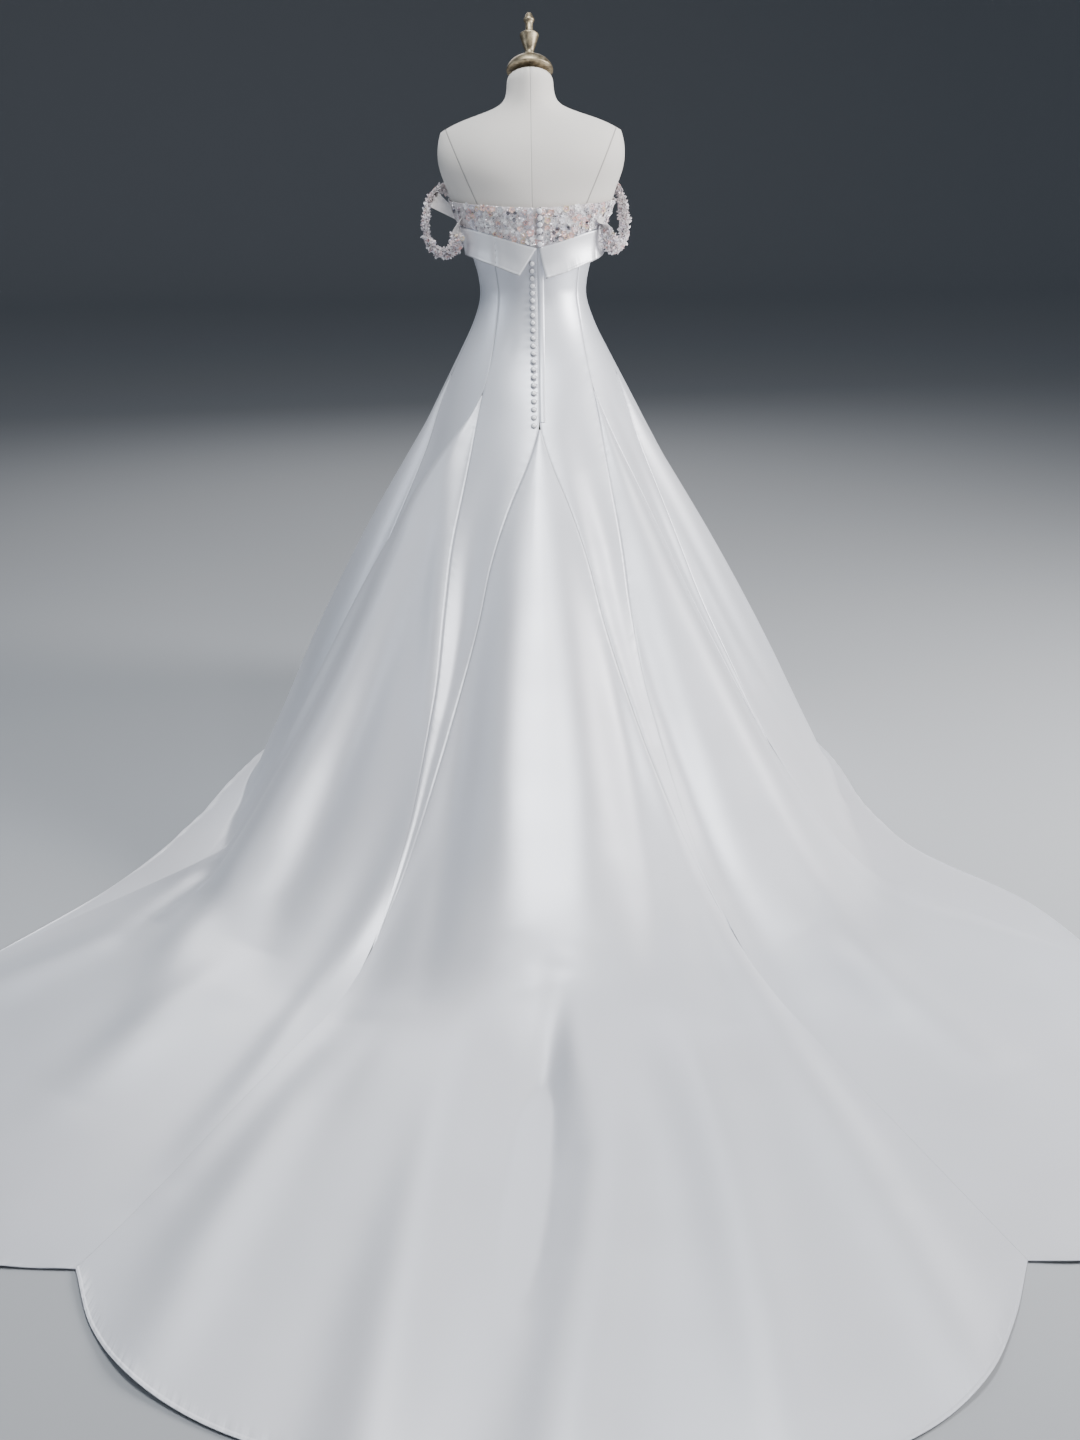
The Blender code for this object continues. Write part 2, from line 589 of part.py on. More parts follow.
def cuff_wall(name, first, last, across, stand_low, finish):
    # The folded satin that turns down from the yoke's lower edge and stands off at its own edge.
    rows = 5
    outer, inner = [], []
    for i in range(rows + 1):
        way = i / rows
        outer_row, inner_row = [], []
        for j in range(across + 1):
            start = first["top"] + (first["low"] - first["top"]) * way
            end = last["top"] + (last["low"] - last["top"]) * way
            angle = start + (end - start) * j / across
            top = neckline["satin"](abs(signed(angle))) - CUFF_TOP_DROP
            low = neckline["cuff"](abs(signed(angle)))
            height = top + (low - top) * way
            stand = CUFF_STAND_TOP + (stand_low - CUFF_STAND_TOP) * way**1.5
            inner_row.append(chest_point(angle, height, stand))
            outer_row.append(chest_point(angle, height, stand + WALL))
        outer.append(outer_row)
        inner.append(inner_row)
    return add_object(name, wall_mesh(name, outer, inner), finish)


def add_cuff(satin):
    side = dict(top=YOKE_SIDE_ANGLE, low=YOKE_SIDE_ANGLE)
    cuff_wall("cuff_left", CUFF_LEFT_END, side, 12, CUFF_STAND_LOW["left"], satin)
    right_end = {edge: -angle for edge, angle in CUFF_RIGHT_END.items()}
    right_side = {edge: -angle for edge, angle in side.items()}
    cuff_wall("cuff_right", right_end, right_side, 12, CUFF_STAND_LOW["right"], satin)
    front_start = {edge: angle + CUFF_SIDE_GAP for edge, angle in side.items()}
    front_end = {edge: 360.0 - angle for edge, angle in front_start.items()}
    cuff_wall("cuff_front", front_start, front_end, 18, CUFF_STAND_LOW["front"], satin)


def blossom_height(along, height):
    # Raised blossoms in a brick pattern, uneven in size, over the yoke's outside.
    tallest = 0.0
    row = round(height / BLOSSOM_PITCH)
    for line in (row - 1, row, row + 1):
        shift = 0.5 * (line % 2)
        column = round(along / BLOSSOM_PITCH - shift)
        for place in (column - 1, column, column + 1):
            seed = math.sin(place * 12.9898 + line * 78.233) * 43758.5453
            chance = seed - math.floor(seed)
            centre_along = (place + shift + 0.25 * (chance - 0.5)) * BLOSSOM_PITCH
            centre_height = (line + 0.25 * (0.5 - chance)) * BLOSSOM_PITCH
            reach = math.hypot(along - centre_along, height - centre_height) / BLOSSOM_RADIUS
            dome = max(1 - reach * reach, 0.0)
            tallest = max(tallest, dome * (0.55 + 0.45 * chance))
    return tallest * BLOSSOM_HEIGHT


def yoke_wall(name, first, last, rows, across, finish, scallop=0.0):
    outer, inner = [], []
    for i in range(rows + 1):
        way = i / rows
        outer_row, inner_row = [], []
        for j in range(across + 1):
            start = first - scallop * abs(math.sin(math.pi * SCALLOPS * way))
            angle = start + (last - start) * j / across
            low = neckline["satin"](abs(signed(angle))) + HIDDEN_SEAM_GAP
            high = neckline["yoke"](abs(signed(angle)))
            height = low + (high - low) * way
            rim = i in (0, rows) or j in (0, across)
            along = math.radians(angle) * fall_point(angle, YOKE_DROP)[0]
            clear = abs(abs(signed(angle)) - YOKE_SIDE_ANGLE)
            spread = ease(STRAP_LANDING, STRAP_LANDING + LANDING_FADE, clear)
            rise = 0.0 if rim else blossom_height(along, height) * spread
            outer_row.append(chest_point(angle, height, rise))
            inner_row.append(chest_point(angle, height, -WALL))
        outer.append(outer_row)
        inner.append(inner_row)
    return add_object(name, wall_mesh(name, outer, inner), finish)


def add_yoke(beaded):
    radius = fall_point(0.0, YOKE_DROP)[0]
    overlap = math.degrees(PLACKET_OVERLAP / radius)
    depth = math.degrees(SCALLOP_DEPTH / radius)
    gap = math.degrees(SEAM_GAP / radius)
    yoke_wall("yoke_back_left", overlap + depth + gap, YOKE_SIDE_ANGLE, 12, 20, beaded)
    yoke_wall("yoke_back_right", overlap, -YOKE_SIDE_ANGLE, 12, 20, beaded, -depth)
    start = YOKE_SIDE_ANGLE + YOKE_SIDE_GAP
    yoke_wall("yoke_front", start, 360.0 - start, 6, 22, beaded)


def strap_line(side, count):
    # Points at even steps along a strap, from its seat on the front of the yoke to the one on its back.
    ends = STRAP_ENDS[side]
    stand = STRAP_WALL / 2 + STRAP_SEAT
    marks = [body_point(ends["front"], ends["front_height"], stand)]
    marks += [Vector((row["x"], row["y"], row["z"])) for row in STRAP_ROUTES[side]]
    marks.append(body_point(ends["back"], ends["back_height"], stand))
    table, way = [], 0.0
    for number, mark in enumerate(marks):
        way += (mark - marks[number - 1]).length if number else 0.0
        table.append(dict(way=way, x=mark.x, y=mark.y, z=mark.z))
    lines = columns(table, "way")
    return [Vector((lines["x"](s), lines["y"](s), lines["z"](s))) for s in np.linspace(0.0, way, count)]


def strap_frames(side, count, start=0.0, end=1.0):
    # (point, outward direction, width direction) at each station of a strap.
    # Near its two ends the strap turns to lie flat on the yoke.
    fine = strap_line(side, STRAP_STEPS)
    ends = STRAP_ENDS[side]
    seats = {
        name: body_point(ends[name], ends[name + "_height"], 0.0)
        - body_point(ends[name], ends[name + "_height"], 1.0)
        for name in ("front", "back")
    }
    frames = []
    for i in range(count):
        part = start + (end - start) * i / (count - 1)
        place = int(round(part * (STRAP_STEPS - 1)))
        before, after = fine[max(place - 4, 0)], fine[min(place + 4, STRAP_STEPS - 1)]
        along = (after - before).normalized()
        away = (fine[place] - STRAP_CENTRES[side]).normalized()
        away = away.lerp(seats["front"], 1 - ease(0.0, STRAP_SETTLE, part))
        away = away.lerp(seats["back"], ease(1 - STRAP_SETTLE, 1.0, part))
        away = (away - along * away.dot(along)).normalized()
        frames.append((fine[place], away, along.cross(away).normalized()))
    return frames


def ribbon(name, frames, width, low, high, across, finish):
    # A flat band along the frames, between two stands from its middle line.
    outer, inner = [], []
    for point, away, aside in frames:
        places = [width * (j / across - 0.5) for j in range(across + 1)]
        outer.append([point + aside * place + away * high for place in places])
        inner.append([point + aside * place + away * low for place in places])
    return add_object(name, wall_mesh(name, outer, inner), finish)


def add_fringe(side, finish):
    # A narrow backing strip with two rows of petal locks raised from its outer faces.
    frames = strap_frames(side, STRAP_STATIONS)[FRINGE_FIRST : FRINGE_LAST + 1]
    low = STRAP_WALL / 2 + FRINGE_SEAT
    strip = ribbon(f"fringe_{side}", frames, FRINGE_WIDTH, low, low + FRINGE_WALL, 2, finish)
    shape = bmesh.new()
    shape.from_mesh(strip.data)
    wide = math.radians(60)
    bmesh.ops.join_triangles(shape, faces=shape.faces, angle_face_threshold=wide, angle_shape_threshold=wide)
    middle_area = FRINGE_WIDTH * LOCK_INSET
    outside = []
    for face in shape.faces:
        outward = (face.calc_center_median() - STRAP_CENTRES[side]).normalized()
        if len(face.verts) == 4 and face.normal.dot(outward) > 0.3 and face.calc_area() > middle_area:
            outside.append(face)
    bmesh.ops.inset_individual(shape, faces=outside, thickness=LOCK_INSET)
    for number, face in enumerate(outside):
        turn = number * GOLDEN_TURN
        lean = Vector((math.cos(turn), math.sin(turn), -0.5)) * LOCK_LEAN
        length = LOCK_LENGTH + LOCK_VARIATION * math.sin(number * GOLDEN_TURN / 2)
        normal = face.normal.copy()
        near = min(number, len(outside) - 1 - number) / len(outside)
        short = LOCK_SHORTEST + (1 - LOCK_SHORTEST) * ease(0.0, LOCK_TAPER, near)
        tip = bmesh.ops.poke(shape, faces=[face])["verts"][0]
        tip.co += (normal * length + lean) * short
    shape.to_mesh(strip.data)
    shape.free()


def add_strap_web(finish):
    # The plain piece between the yoke's left edge and the outer run of its strap.
    rows, across = 6, 3
    frames = strap_frames("left", across + 1, WEB_START, WEB_END)
    outer, inner = [], []
    for i in range(rows + 1):
        way = i / rows
        outer_row, inner_row = [], []
        for j in range(across + 1):
            height = WEB_TOP - WEB_HEIGHT * j / across
            near = body_point(WEB_ANGLE, height, STRAP_SEAT)
            near_out = body_point(WEB_ANGLE, height, STRAP_SEAT + STRAP_WALL)
            point, away, _ = frames[j]
            far = point - away * (STRAP_WALL / 2 + STRAP_SEAT + STRAP_WALL)
            far_out = point - away * (STRAP_WALL / 2 + STRAP_SEAT)
            inner_row.append(near.lerp(far, way))
            outer_row.append(near_out.lerp(far_out, way))
        outer.append(outer_row)
        inner.append(inner_row)
    return add_object("strap_web", wall_mesh("strap_web", outer, inner), finish)


def add_straps(tulle, petals):
    half = STRAP_WALL / 2
    for side in ("left", "right"):
        ribbon(f"strap_{side}", strap_frames(side, STRAP_STATIONS), STRAP_WIDTH, -half, half, 2, tulle)
        add_fringe(side, petals)
    add_strap_web(tulle)


def turned_mesh(name, profile, sides, place=None):
    # A turned piece from a profile of radii and rises, closed by a flat face at each end.
    shape = bmesh.new()
    rings = []
    for row in profile:
        ring = []
        for k in range(sides):
            turn = 2 * math.pi * k / sides
            point = row["radius"] * math.cos(turn), row["radius"] * math.sin(turn), row["rise"]
            ring.append(shape.verts.new(point))
        rings.append(ring)
    for lower, upper in zip(rings, rings[1:]):
        for k in range(sides):
            following = (k + 1) % sides
            shape.faces.new((lower[k], lower[following], upper[following], upper[k]))
    shape.faces.new(rings[0][::-1])
    shape.faces.new(rings[-1])
    if place:
        shape.transform(place)
    bmesh.ops.recalc_face_normals(shape, faces=shape.faces)
    mesh = bpy.data.meshes.new(name)
    shape.to_mesh(mesh)
    shape.free()
    return mesh


def surface_of(names):
    # The faces of some finished pieces, for rays.
    points, faces = [], []
    for name in names:
        mesh = bpy.data.objects[name].data
        first = len(points)
        points += [v.co.copy() for v in mesh.vertices]
        faces += [[first + index for index in face.vertices] for face in mesh.polygons]
    return BVHTree.FromPolygons(points, faces)


def rise_under(surface, centre, out, radius):
    # How high the surface reaches above a centre under a disc that faces out.
    side = out.orthogonal().normalized()
    other = out.cross(side)
    rises = []
    for k in range(BUTTON_SIDES):
        turn = 2 * math.pi * k / BUTTON_SIDES
        start = centre + (side * math.cos(turn) + other * math.sin(turn)) * radius + out * BUTTON_RAY
        hit = surface.ray_cast(start, -out)[0]
        rises.append((hit - centre).dot(out))
    return max(rises)


def drop_at(height):
    # The drop at which the cloth at centre back has a height.
    if height > HIP_HEIGHT:
        return (CHEST_HEIGHT - height) / (CHEST_HEIGHT - HIP_HEIGHT)
    return 2 - ((height - WALL) / (HIP_HEIGHT - WALL)) ** (1 / skirt["fall"](0.0))


def add_buttons(satin):
    step = (BUTTON_LOW_HEIGHT - BUTTON_TOP_HEIGHT) / (BUTTON_COUNT - 1)
    foot = BUTTON_RADIUS * BUTTON_FOOT
    profile = [
        dict(radius=foot, rise=0.0),
        dict(radius=BUTTON_RADIUS, rise=BUTTON_HEIGHT * BUTTON_SHOULDER),
        dict(radius=BUTTON_RADIUS * BUTTON_CROWN, rise=BUTTON_HEIGHT),
    ]
    surface = surface_of(["panel_back_left", "panel_back_right", "gore_back"])
    for number in range(BUTTON_COUNT):
        drop = drop_at(BUTTON_TOP_HEIGHT + step * number)
        angle = body_turn(drop) + math.degrees(math.asin(BUTTON_OFFSET / fall_point(0.0, drop)[0]))
        centre = cloth_point(angle, drop)
        out = facing(cloth_point, angle, drop)
        centre += out * (rise_under(surface, centre, out, foot) + SEAM_GAP)
        turn = out.to_track_quat("Z", "Y").to_matrix().to_4x4()
        name = f"button_{number + 1:02d}"
        shape = turned_mesh(name, profile, BUTTON_SIDES, Matrix.Translation(centre) @ turn)
        add_object(name, shape, satin)


def form_ring(row, sides):
    ring = []
    for k in range(sides):
        turn = 2 * math.pi * k / sides
        power = 2 / row["squareness"]
        x = math.copysign(abs(math.cos(turn)) ** power, math.cos(turn)) * row["side"]
        y = math.copysign(abs(math.sin(turn)) ** power, math.sin(turn))
        y *= row["back"] if y > 0 else row["front"]
        ring.append(Vector((x, y + row["shift"], row["height"])))
    return ring


def add_form(linen, metal):
    shape = bmesh.new()
    rings = [[shape.verts.new(p) for p in form_ring(row, FORM_SIDES)] for row in FORM_RINGS]
    neck_top = []
    for k in range(FORM_SIDES):
        turn = 2 * math.pi * k / FORM_SIDES
        y = NECK_RADIUS * math.sin(turn)
        point = (NECK_RADIUS * math.cos(turn), y + NECK_TOP_SHIFT, NECK_TOP_HEIGHT + y * math.tan(NECK_SLOPE))
        neck_top.append(shape.verts.new(point))
    rings.append(neck_top)
    for lower, upper in zip(rings, rings[1:]):
        for k in range(FORM_SIDES):
            following = (k + 1) % FORM_SIDES
            shape.faces.new((lower[k], lower[following], upper[following], upper[k]))
    shape.faces.new(rings[0][::-1])
    shape.faces.new(rings[-1])
    bmesh.ops.recalc_face_normals(shape, faces=shape.faces)
    mesh = bpy.data.meshes.new("form_torso")
    shape.to_mesh(mesh)
    shape.free()
    add_object("form_torso", mesh, linen)

    neck_top_place = Vector((0, NECK_TOP_SHIFT, NECK_TOP_HEIGHT))
    tilt = Matrix.Rotation(NECK_SLOPE, 4, "X")
    cap_place = Matrix.Translation(neck_top_place) @ tilt @ Matrix.Translation((0, 0, SEAT_GAP))
    add_object("neck_cap", turned_mesh("neck_cap", CAP_PROFILE, CAP_SIDES, cap_place), metal)
    rise = CAP_PROFILE[-1]["rise"] + SEAT_GAP
    finial_place = cap_place @ Matrix.Translation((0, 0, rise))
    add_object("finial", turned_mesh("finial", FINIAL_PROFILE, FINIAL_SIDES, finial_place), metal)

    base = turned_mesh("stand_base", BASE_PROFILE, BASE_SIDES)
    add_object("stand_base", base, metal)
    pole_profile = [
        dict(radius=POLE_RADIUS, rise=BASE_PROFILE[-1]["rise"] + SEAT_GAP),
        dict(radius=POLE_RADIUS, rise=FORM_RINGS[0]["height"] - SEAT_GAP),
    ]
    add_object("stand_pole", turned_mesh("stand_pole", pole_profile, POLE_SIDES), metal)


def main():
    for old in list(bpy.data.objects):
        bpy.data.objects.remove(old, do_unlink=True)
    satin = material("ivory_satin", (0.84, 0.83, 0.84), 0.34)
    beaded = material("beaded_tulle", (0.80, 0.74, 0.75), 0.5)
    tulle = material("strap_tulle", (0.82, 0.79, 0.78), 0.6)
    petals = material("petal_fringe", (0.86, 0.80, 0.80), 0.6)
    linen = material("form_linen", (0.72, 0.69, 0.66), 0.85)
    brass = material("aged_brass", (0.55, 0.44, 0.28), 0.35, 1.0)
    add_skirt(satin)
    add_cuff(satin)
    add_yoke(beaded)
    add_straps(tulle, petals)
    add_buttons(satin)
    add_form(linen, brass)


main()
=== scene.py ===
import math
import random

import bmesh
import bpy
import numpy as np
from mathutils import Matrix, Vector


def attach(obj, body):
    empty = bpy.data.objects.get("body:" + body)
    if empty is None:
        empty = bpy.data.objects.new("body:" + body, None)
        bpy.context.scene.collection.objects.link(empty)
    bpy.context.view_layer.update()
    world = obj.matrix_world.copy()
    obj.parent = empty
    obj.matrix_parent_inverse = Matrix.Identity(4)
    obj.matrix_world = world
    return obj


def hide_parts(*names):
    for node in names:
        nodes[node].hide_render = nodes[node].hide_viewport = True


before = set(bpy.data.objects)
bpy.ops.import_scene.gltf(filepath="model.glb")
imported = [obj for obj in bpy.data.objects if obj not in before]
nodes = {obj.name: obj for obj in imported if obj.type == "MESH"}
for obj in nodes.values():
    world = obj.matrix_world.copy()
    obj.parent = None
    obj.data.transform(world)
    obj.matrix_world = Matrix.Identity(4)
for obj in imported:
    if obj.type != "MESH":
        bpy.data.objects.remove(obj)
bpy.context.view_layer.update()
bpy.ops.object.select_all(action="DESELECT")


# camera, lights and studio

cameraView = dict(place=(0.0, 3.60, 1.40), downward=20.0, roll=-0.9, lens=38.7, filmHeight=36.0)
studio = dict(
    floorReach=22.0, wallBack=-18.0, wallHeight=12.0, sweepRadius=5.0,
    floorColour=(0.40, 0.41, 0.43, 1.0), worldColour=(0.76, 0.86, 1.0, 1.0), worldStrength=0.15,
)
lamps = {
    "keyBox": dict(place=(-3.3, 1.0, 1.85), target=(0.0, 0.6, 0.45), size=(1.0, 1.7), energy=215.0,
        colour=(1.0, 0.99, 0.985)),
    "topBox": dict(place=(0.0, 1.0, 4.0), target=(0.0, 0.8, 0.0), size=(1.0, 1.8), energy=120.0,
        colour=(0.95, 0.98, 1.0)),
    "leftBox": dict(place=(3.0, 1.0, 1.9), target=(0.0, 0.4, 0.6), size=(0.6, 1.8), energy=22.0,
        colour=(0.80, 0.89, 1.0)),
    "bodiceBox": dict(place=(-1.3, 2.9, 2.5), target=(0.0, 0.05, 1.25), size=(0.35, 0.5), energy=14.0,
        colour=(1.0, 0.985, 0.97)),
    "frontBox": dict(place=(0.6, -4.0, 3.2), target=(0.0, 0.0, 0.7), size=(2.4, 2.0), energy=60.0,
        colour=(1.0, 0.99, 0.98)),
}


def linked(name, data):
    made = bpy.data.objects.new(name, data)
    bpy.context.scene.collection.objects.link(made)
    return made


def settled(piece, slot, *solids):
    # rides on the one body and stands for its solids
    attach(piece, "root")
    for solid in solids:
        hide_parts(solid)


def aimed(place, target):
    return (Vector(target) - Vector(place)).to_track_quat("-Z", "Y").to_euler()


def makeCamera():
    camera = bpy.data.cameras.new("photoCamera")
    camera.sensor_fit = "VERTICAL"
    camera.sensor_height = cameraView["filmHeight"]
    camera.lens = cameraView["lens"]
    seat = linked("photoCamera", camera)
    tilt = Matrix.Rotation(math.radians(90 - cameraView["downward"]), 4, "X")
    roll = Matrix.Rotation(math.radians(cameraView["roll"]), 4, "Z")
    seat.matrix_world = Matrix.Translation(cameraView["place"]) @ Matrix.Rotation(math.pi, 4,
        "Z") @ tilt @ roll
    bpy.context.scene.camera = seat


def makeStudio():
    profile = [(studio["floorReach"], 0.0), (studio["wallBack"] + studio["sweepRadius"], 0.0)]
    for step in range(1, 13):
        turn = math.pi / 2 * step / 12
        back = studio["wallBack"] + studio["sweepRadius"] * (1 - math.sin(turn))
        profile.append((back, studio["sweepRadius"] * (1 - math.cos(turn))))
    profile.append((studio["wallBack"], studio["wallHeight"]))
    reach = studio["floorReach"]
    points = [(x, y, z - 0.0005) for y, z in profile for x in (-reach, reach)]
    faces = [(2 * k, 2 * k + 1, 2 * k + 3, 2 * k + 2) for k in range(len(profile) - 1)]
    mesh = bpy.data.meshes.new("studioSweep")
    mesh.from_pydata(points, [], faces)
    mesh.shade_smooth()
    sweep = linked("studioSweep", mesh)
    finish = Finish("studioPaper", {"Roughness": 0.9})
    grain = finish.noise(finish.place("Object"), 60.0, 2.0)
    finish.feed("Base Color", finish.blend(grain, studio["floorColour"],
        tuple(c * 0.985 for c in studio["floorColour"][:3]) + (1.0,)))
    mesh.materials.append(finish.material)
    world = bpy.data.worlds.new("studioAir")
    world.use_nodes = True
    air = world.node_tree.nodes["Background"]
    air.inputs["Color"].default_value = studio["worldColour"]
    air.inputs["Strength"].default_value = studio["worldStrength"]
    bpy.context.scene.world = world
    for name, lamp in lamps.items():
        light = bpy.data.lights.new(name, "AREA")
        light.shape = "RECTANGLE"
        light.size, light.size_y = lamp["size"]
        light.energy = lamp["energy"]
        light.color = lamp["colour"]
        seat = linked(name, light)
        seat.location = lamp["place"]
        seat.rotation_euler = aimed(lamp["place"], lamp["target"])


# finishes

class Value:
    # a number or vector that changes over a surface; sums on it add Math nodes
    def __init__(self, finish, socket):
        self.finish = finish
        self.socket = socket

    def reckon(self, operation, first, second):
        return self.finish.node("ShaderNodeMath", dict(operation=operation), {0: first, 1: second})

    def __add__(self, other):
        return self.reckon("ADD", self, other)

    def __sub__(self, other):
        return self.reckon("SUBTRACT", self, other)

    def __rsub__(self, other):
        return self.reckon("SUBTRACT", other, self)

    def __mul__(self, other):
        return self.reckon("MULTIPLY", self, other)

    def __gt__(self, other):
        return self.reckon("GREATER_THAN", self, other)

    __radd__ = __add__
    __rmul__ = __mul__

    def fade(self, start, end):
        # 1 up to start, falling softly to 0 at end
        sockets = {"Value": self, "From Min": start, "From Max": end, "To Min": 1.0, "To Max": 0.0}
        return self.finish.node("ShaderNodeMapRange", dict(interpolation_type="SMOOTHSTEP"), sockets)

    def away(self, centre):
        # how far from a centre value
        return self.reckon("ABSOLUTE", self - centre, 0.0)


class Finish:
    # one material: its shader, and a way to add any node
    def __init__(self, name, constants):
        self.material = bpy.data.materials.new(name)
        self.material.use_nodes = True
        self.tree = self.material.node_tree
        self.shader = self.tree.nodes["Principled BSDF"]
        for socket, number in constants.items():
            self.shader.inputs[socket].default_value = number

    def node(self, kind, settings, sockets, output=0):
        made = self.tree.nodes.new(kind)
        for name, setting in settings.items():
            if name == "stops":
                for number, (place, colour) in enumerate(setting):
                    stops = made.color_ramp.elements
                    stop = stops[number] if number < 2 else stops.new(place)
                    stop.position = place
                    stop.color = colour
            else:
                setattr(made, name, setting)
        for key, given in sockets.items():
            if isinstance(given, Value):
                self.tree.links.new(given.socket, made.inputs[key])
            else:
                made.inputs[key].default_value = given
        return Value(self, made.outputs[output])

    def feed(self, socket, value):
        self.tree.links.new(value.socket, self.shader.inputs[socket])

    def place(self, kind, scale=(1.0, 1.0, 1.0)):
        spot = self.node("ShaderNodeTexCoord", {}, {}, kind)
        return self.node("ShaderNodeMapping", {}, {"Vector": spot, "Scale": scale})

    def part(self, place, axis):
        return self.node("ShaderNodeSeparateXYZ", {}, {0: place}, axis)

    def attribute(self, name):
        return self.node("ShaderNodeAttribute", dict(attribute_name=name), {}, "Fac")

    def noise(self, place, scale, detail, roughness=0.5):
        return self.node("ShaderNodeTexNoise", {}, {"Vector": place, "Scale": scale, "Detail": detail,
            "Roughness": roughness})

    def blend(self, factor, first, second):
        return self.node("ShaderNodeMix", dict(data_type="RGBA"), {0: factor, 6: first, 7: second}, 2)

    def ramp(self, factor, stops):
        return self.node("ShaderNodeValToRGB", dict(stops=stops), {0: factor})

    def relief(self, height):
        # height in metres
        self.feed("Normal", self.node("ShaderNodeBump", {}, {"Height": height, "Distance": 1.0,
            "Strength": 1.0}, "Normal"))


satinLook = dict(
    light=(0.83, 0.865, 0.935, 1.0), deep=(0.85, 0.83, 0.87, 1.0), seamShade=(0.42, 0.42, 0.45, 1.0),
    roughness=0.43, roughnessDrift=0.08, threadRelief=0.000022, driftRelief=0.0011,
    seamStart=0.36, seamEnd=0.10, seamWidth=0.0050, seamDepth=0.0009, puckerReach=0.024, puckerDepth=0.0011,
)


def satinFinish(name, tint=(1.0, 1.0, 1.0), seamed=True, shadowedEdge=False):
    look = satinLook
    tones = {key: tuple(a * b for a, b in zip(look[key], tint)) + (1.0,) for key in ("light", "deep",
        "seamShade")}
    finish = Finish(name, {"Metallic": 0.42, "Sheen Weight": 0.10, "Sheen Roughness": 0.4,
        "Specular IOR Level": 0.6})
    body = finish.place("Object")
    warp = finish.noise(finish.place("UV", (1900.0, 120.0, 1.0)), 1.0, 2.0)   # fine threads down the cloth
    weft = finish.noise(finish.place("UV", (150.0, 2300.0, 1.0)), 1.0, 1.0)
    drift = finish.noise(body, 7.0, 3.0, 0.45)
    cloud = finish.noise(body, 1.3, 1.0)   # the light drifts between cool and warm
    colour = finish.blend(cloud, tones["light"], tones["deep"])
    height = warp * look["threadRelief"] + weft * (look["threadRelief"] * 0.7) + drift * look["driftRelief"]
    roughness = look["roughness"] + (drift - 0.5) * look["roughnessDrift"] + (warp - 0.5) * 0.05
    if seamed:
        seam = finish.attribute("seam")
        pucker = finish.noise(finish.place("UV", (1.0, 46.0, 1.0)), 1.0, 2.0)
        shown = 1.0 - finish.part(body, 2).fade(look["seamEnd"], look["seamStart"])   # lost in the train
        line = seam.fade(0.0, look["seamWidth"]) * shown
        near = seam.fade(0.0, look["puckerReach"]) * shown
        height = height - line * look["seamDepth"] + (pucker - 0.5) * near * look["puckerDepth"]
        colour = finish.blend(seam.fade(0.0005, 0.0019) * shown * 0.7, colour, tones["seamShade"])
        hem = finish.attribute("hem")
        if shadowedEdge:
            # painted shadow: a thin dark line along the cloth's lower edge
            colour = finish.blend(hem.fade(0.0010, 0.0034) * 0.62, colour, tones["seamShade"])
        hemNoise = finish.noise(finish.place("UV", (60.0, 1.0, 1.0)), 1.0, 2.0)
        height = height + hem.fade(0.003, 0.007) * 0.0006 + (hemNoise - 0.5) * hem.fade(0.0, 0.03) * 0.0016
        roughness = roughness + line * 0.08
    finish.feed("Base Color", colour)
    finish.feed("Roughness", roughness)
    finish.relief(height)
    return finish.material


def tulleFinish(name, colour, deep):
    finish = Finish(name, {"Sheen Weight": 0.35, "Sheen Roughness": 0.5})
    net = finish.place("UV", (900.0, 900.0, 900.0))
    mesh = finish.node("ShaderNodeTexVoronoi", dict(feature="DISTANCE_TO_EDGE"), {"Vector": net,
        "Scale": 1.0})
    thread = mesh.fade(0.03, 0.16)
    cloud = finish.noise(finish.place("Object"), 30.0, 3.0)
    fold = finish.noise(finish.place("UV", (260.0, 16.0, 1.0)), 1.0, 3.0)
    base = finish.blend(cloud, colour, deep)
    finish.feed("Base Color", finish.blend(thread * 0.35, base, tuple(min(c * 1.12,
        1.0) for c in colour[:3]) + (1.0,)))
    finish.feed("Roughness", 0.62 + cloud * 0.12)
    finish.relief(thread * 0.00018 + fold * 0.0009 + cloud * 0.0006)
    return finish.material


def petalFinish(name, stops):
    # each petal has its own tint, and darkens towards its root
    finish = Finish(name, {"Sheen Weight": 0.5, "Sheen Roughness": 0.4, "Roughness": 0.5})
    tone = finish.ramp(finish.attribute("tint"), stops)
    depth = finish.attribute("root")
    grain = finish.noise(finish.place("Object"), 900.0, 2.0)
    finish.feed("Base Color", finish.blend(depth * 0.3, tone, (0.52, 0.44, 0.46, 1.0)))
    finish.feed("Roughness", 0.42 + grain * 0.25)
    finish.relief(grain * 0.00012)
    return finish.material


def beadFinish(name, stops, roughness, metallic):
    finish = Finish(name, {"Metallic": metallic, "Coat Weight": 0.6, "Coat Roughness": 0.05,
        "Specular IOR Level": 0.7})
    finish.feed("Base Color", finish.ramp(finish.attribute("tint"), stops))
    finish.feed("Roughness", roughness + finish.noise(finish.place("Object"), 700.0, 1.0) * 0.12)
    return finish.material


def buttonFinish():
    # satin with painted shade: each button darkens at its rim, where it meets the cloth
    finish = Finish("buttonSatin", {"Metallic": 0.2, "Roughness": 0.36, "Specular IOR Level": 0.6})
    rim = finish.attribute("root").fade(0.0, 0.16)
    grain = finish.noise(finish.place("Object"), 900.0, 2.0)
    # painted shade: near-black blended in where rim is high, at the button's edge
    finish.feed("Base Color", finish.blend(rim * 0.85, (0.90, 0.90, 0.92, 1.0), (0.22, 0.22, 0.25, 1.0)))
    finish.feed("Roughness", 0.34 + grain * 0.10)
    finish.relief(grain * 0.00006)
    return finish.material


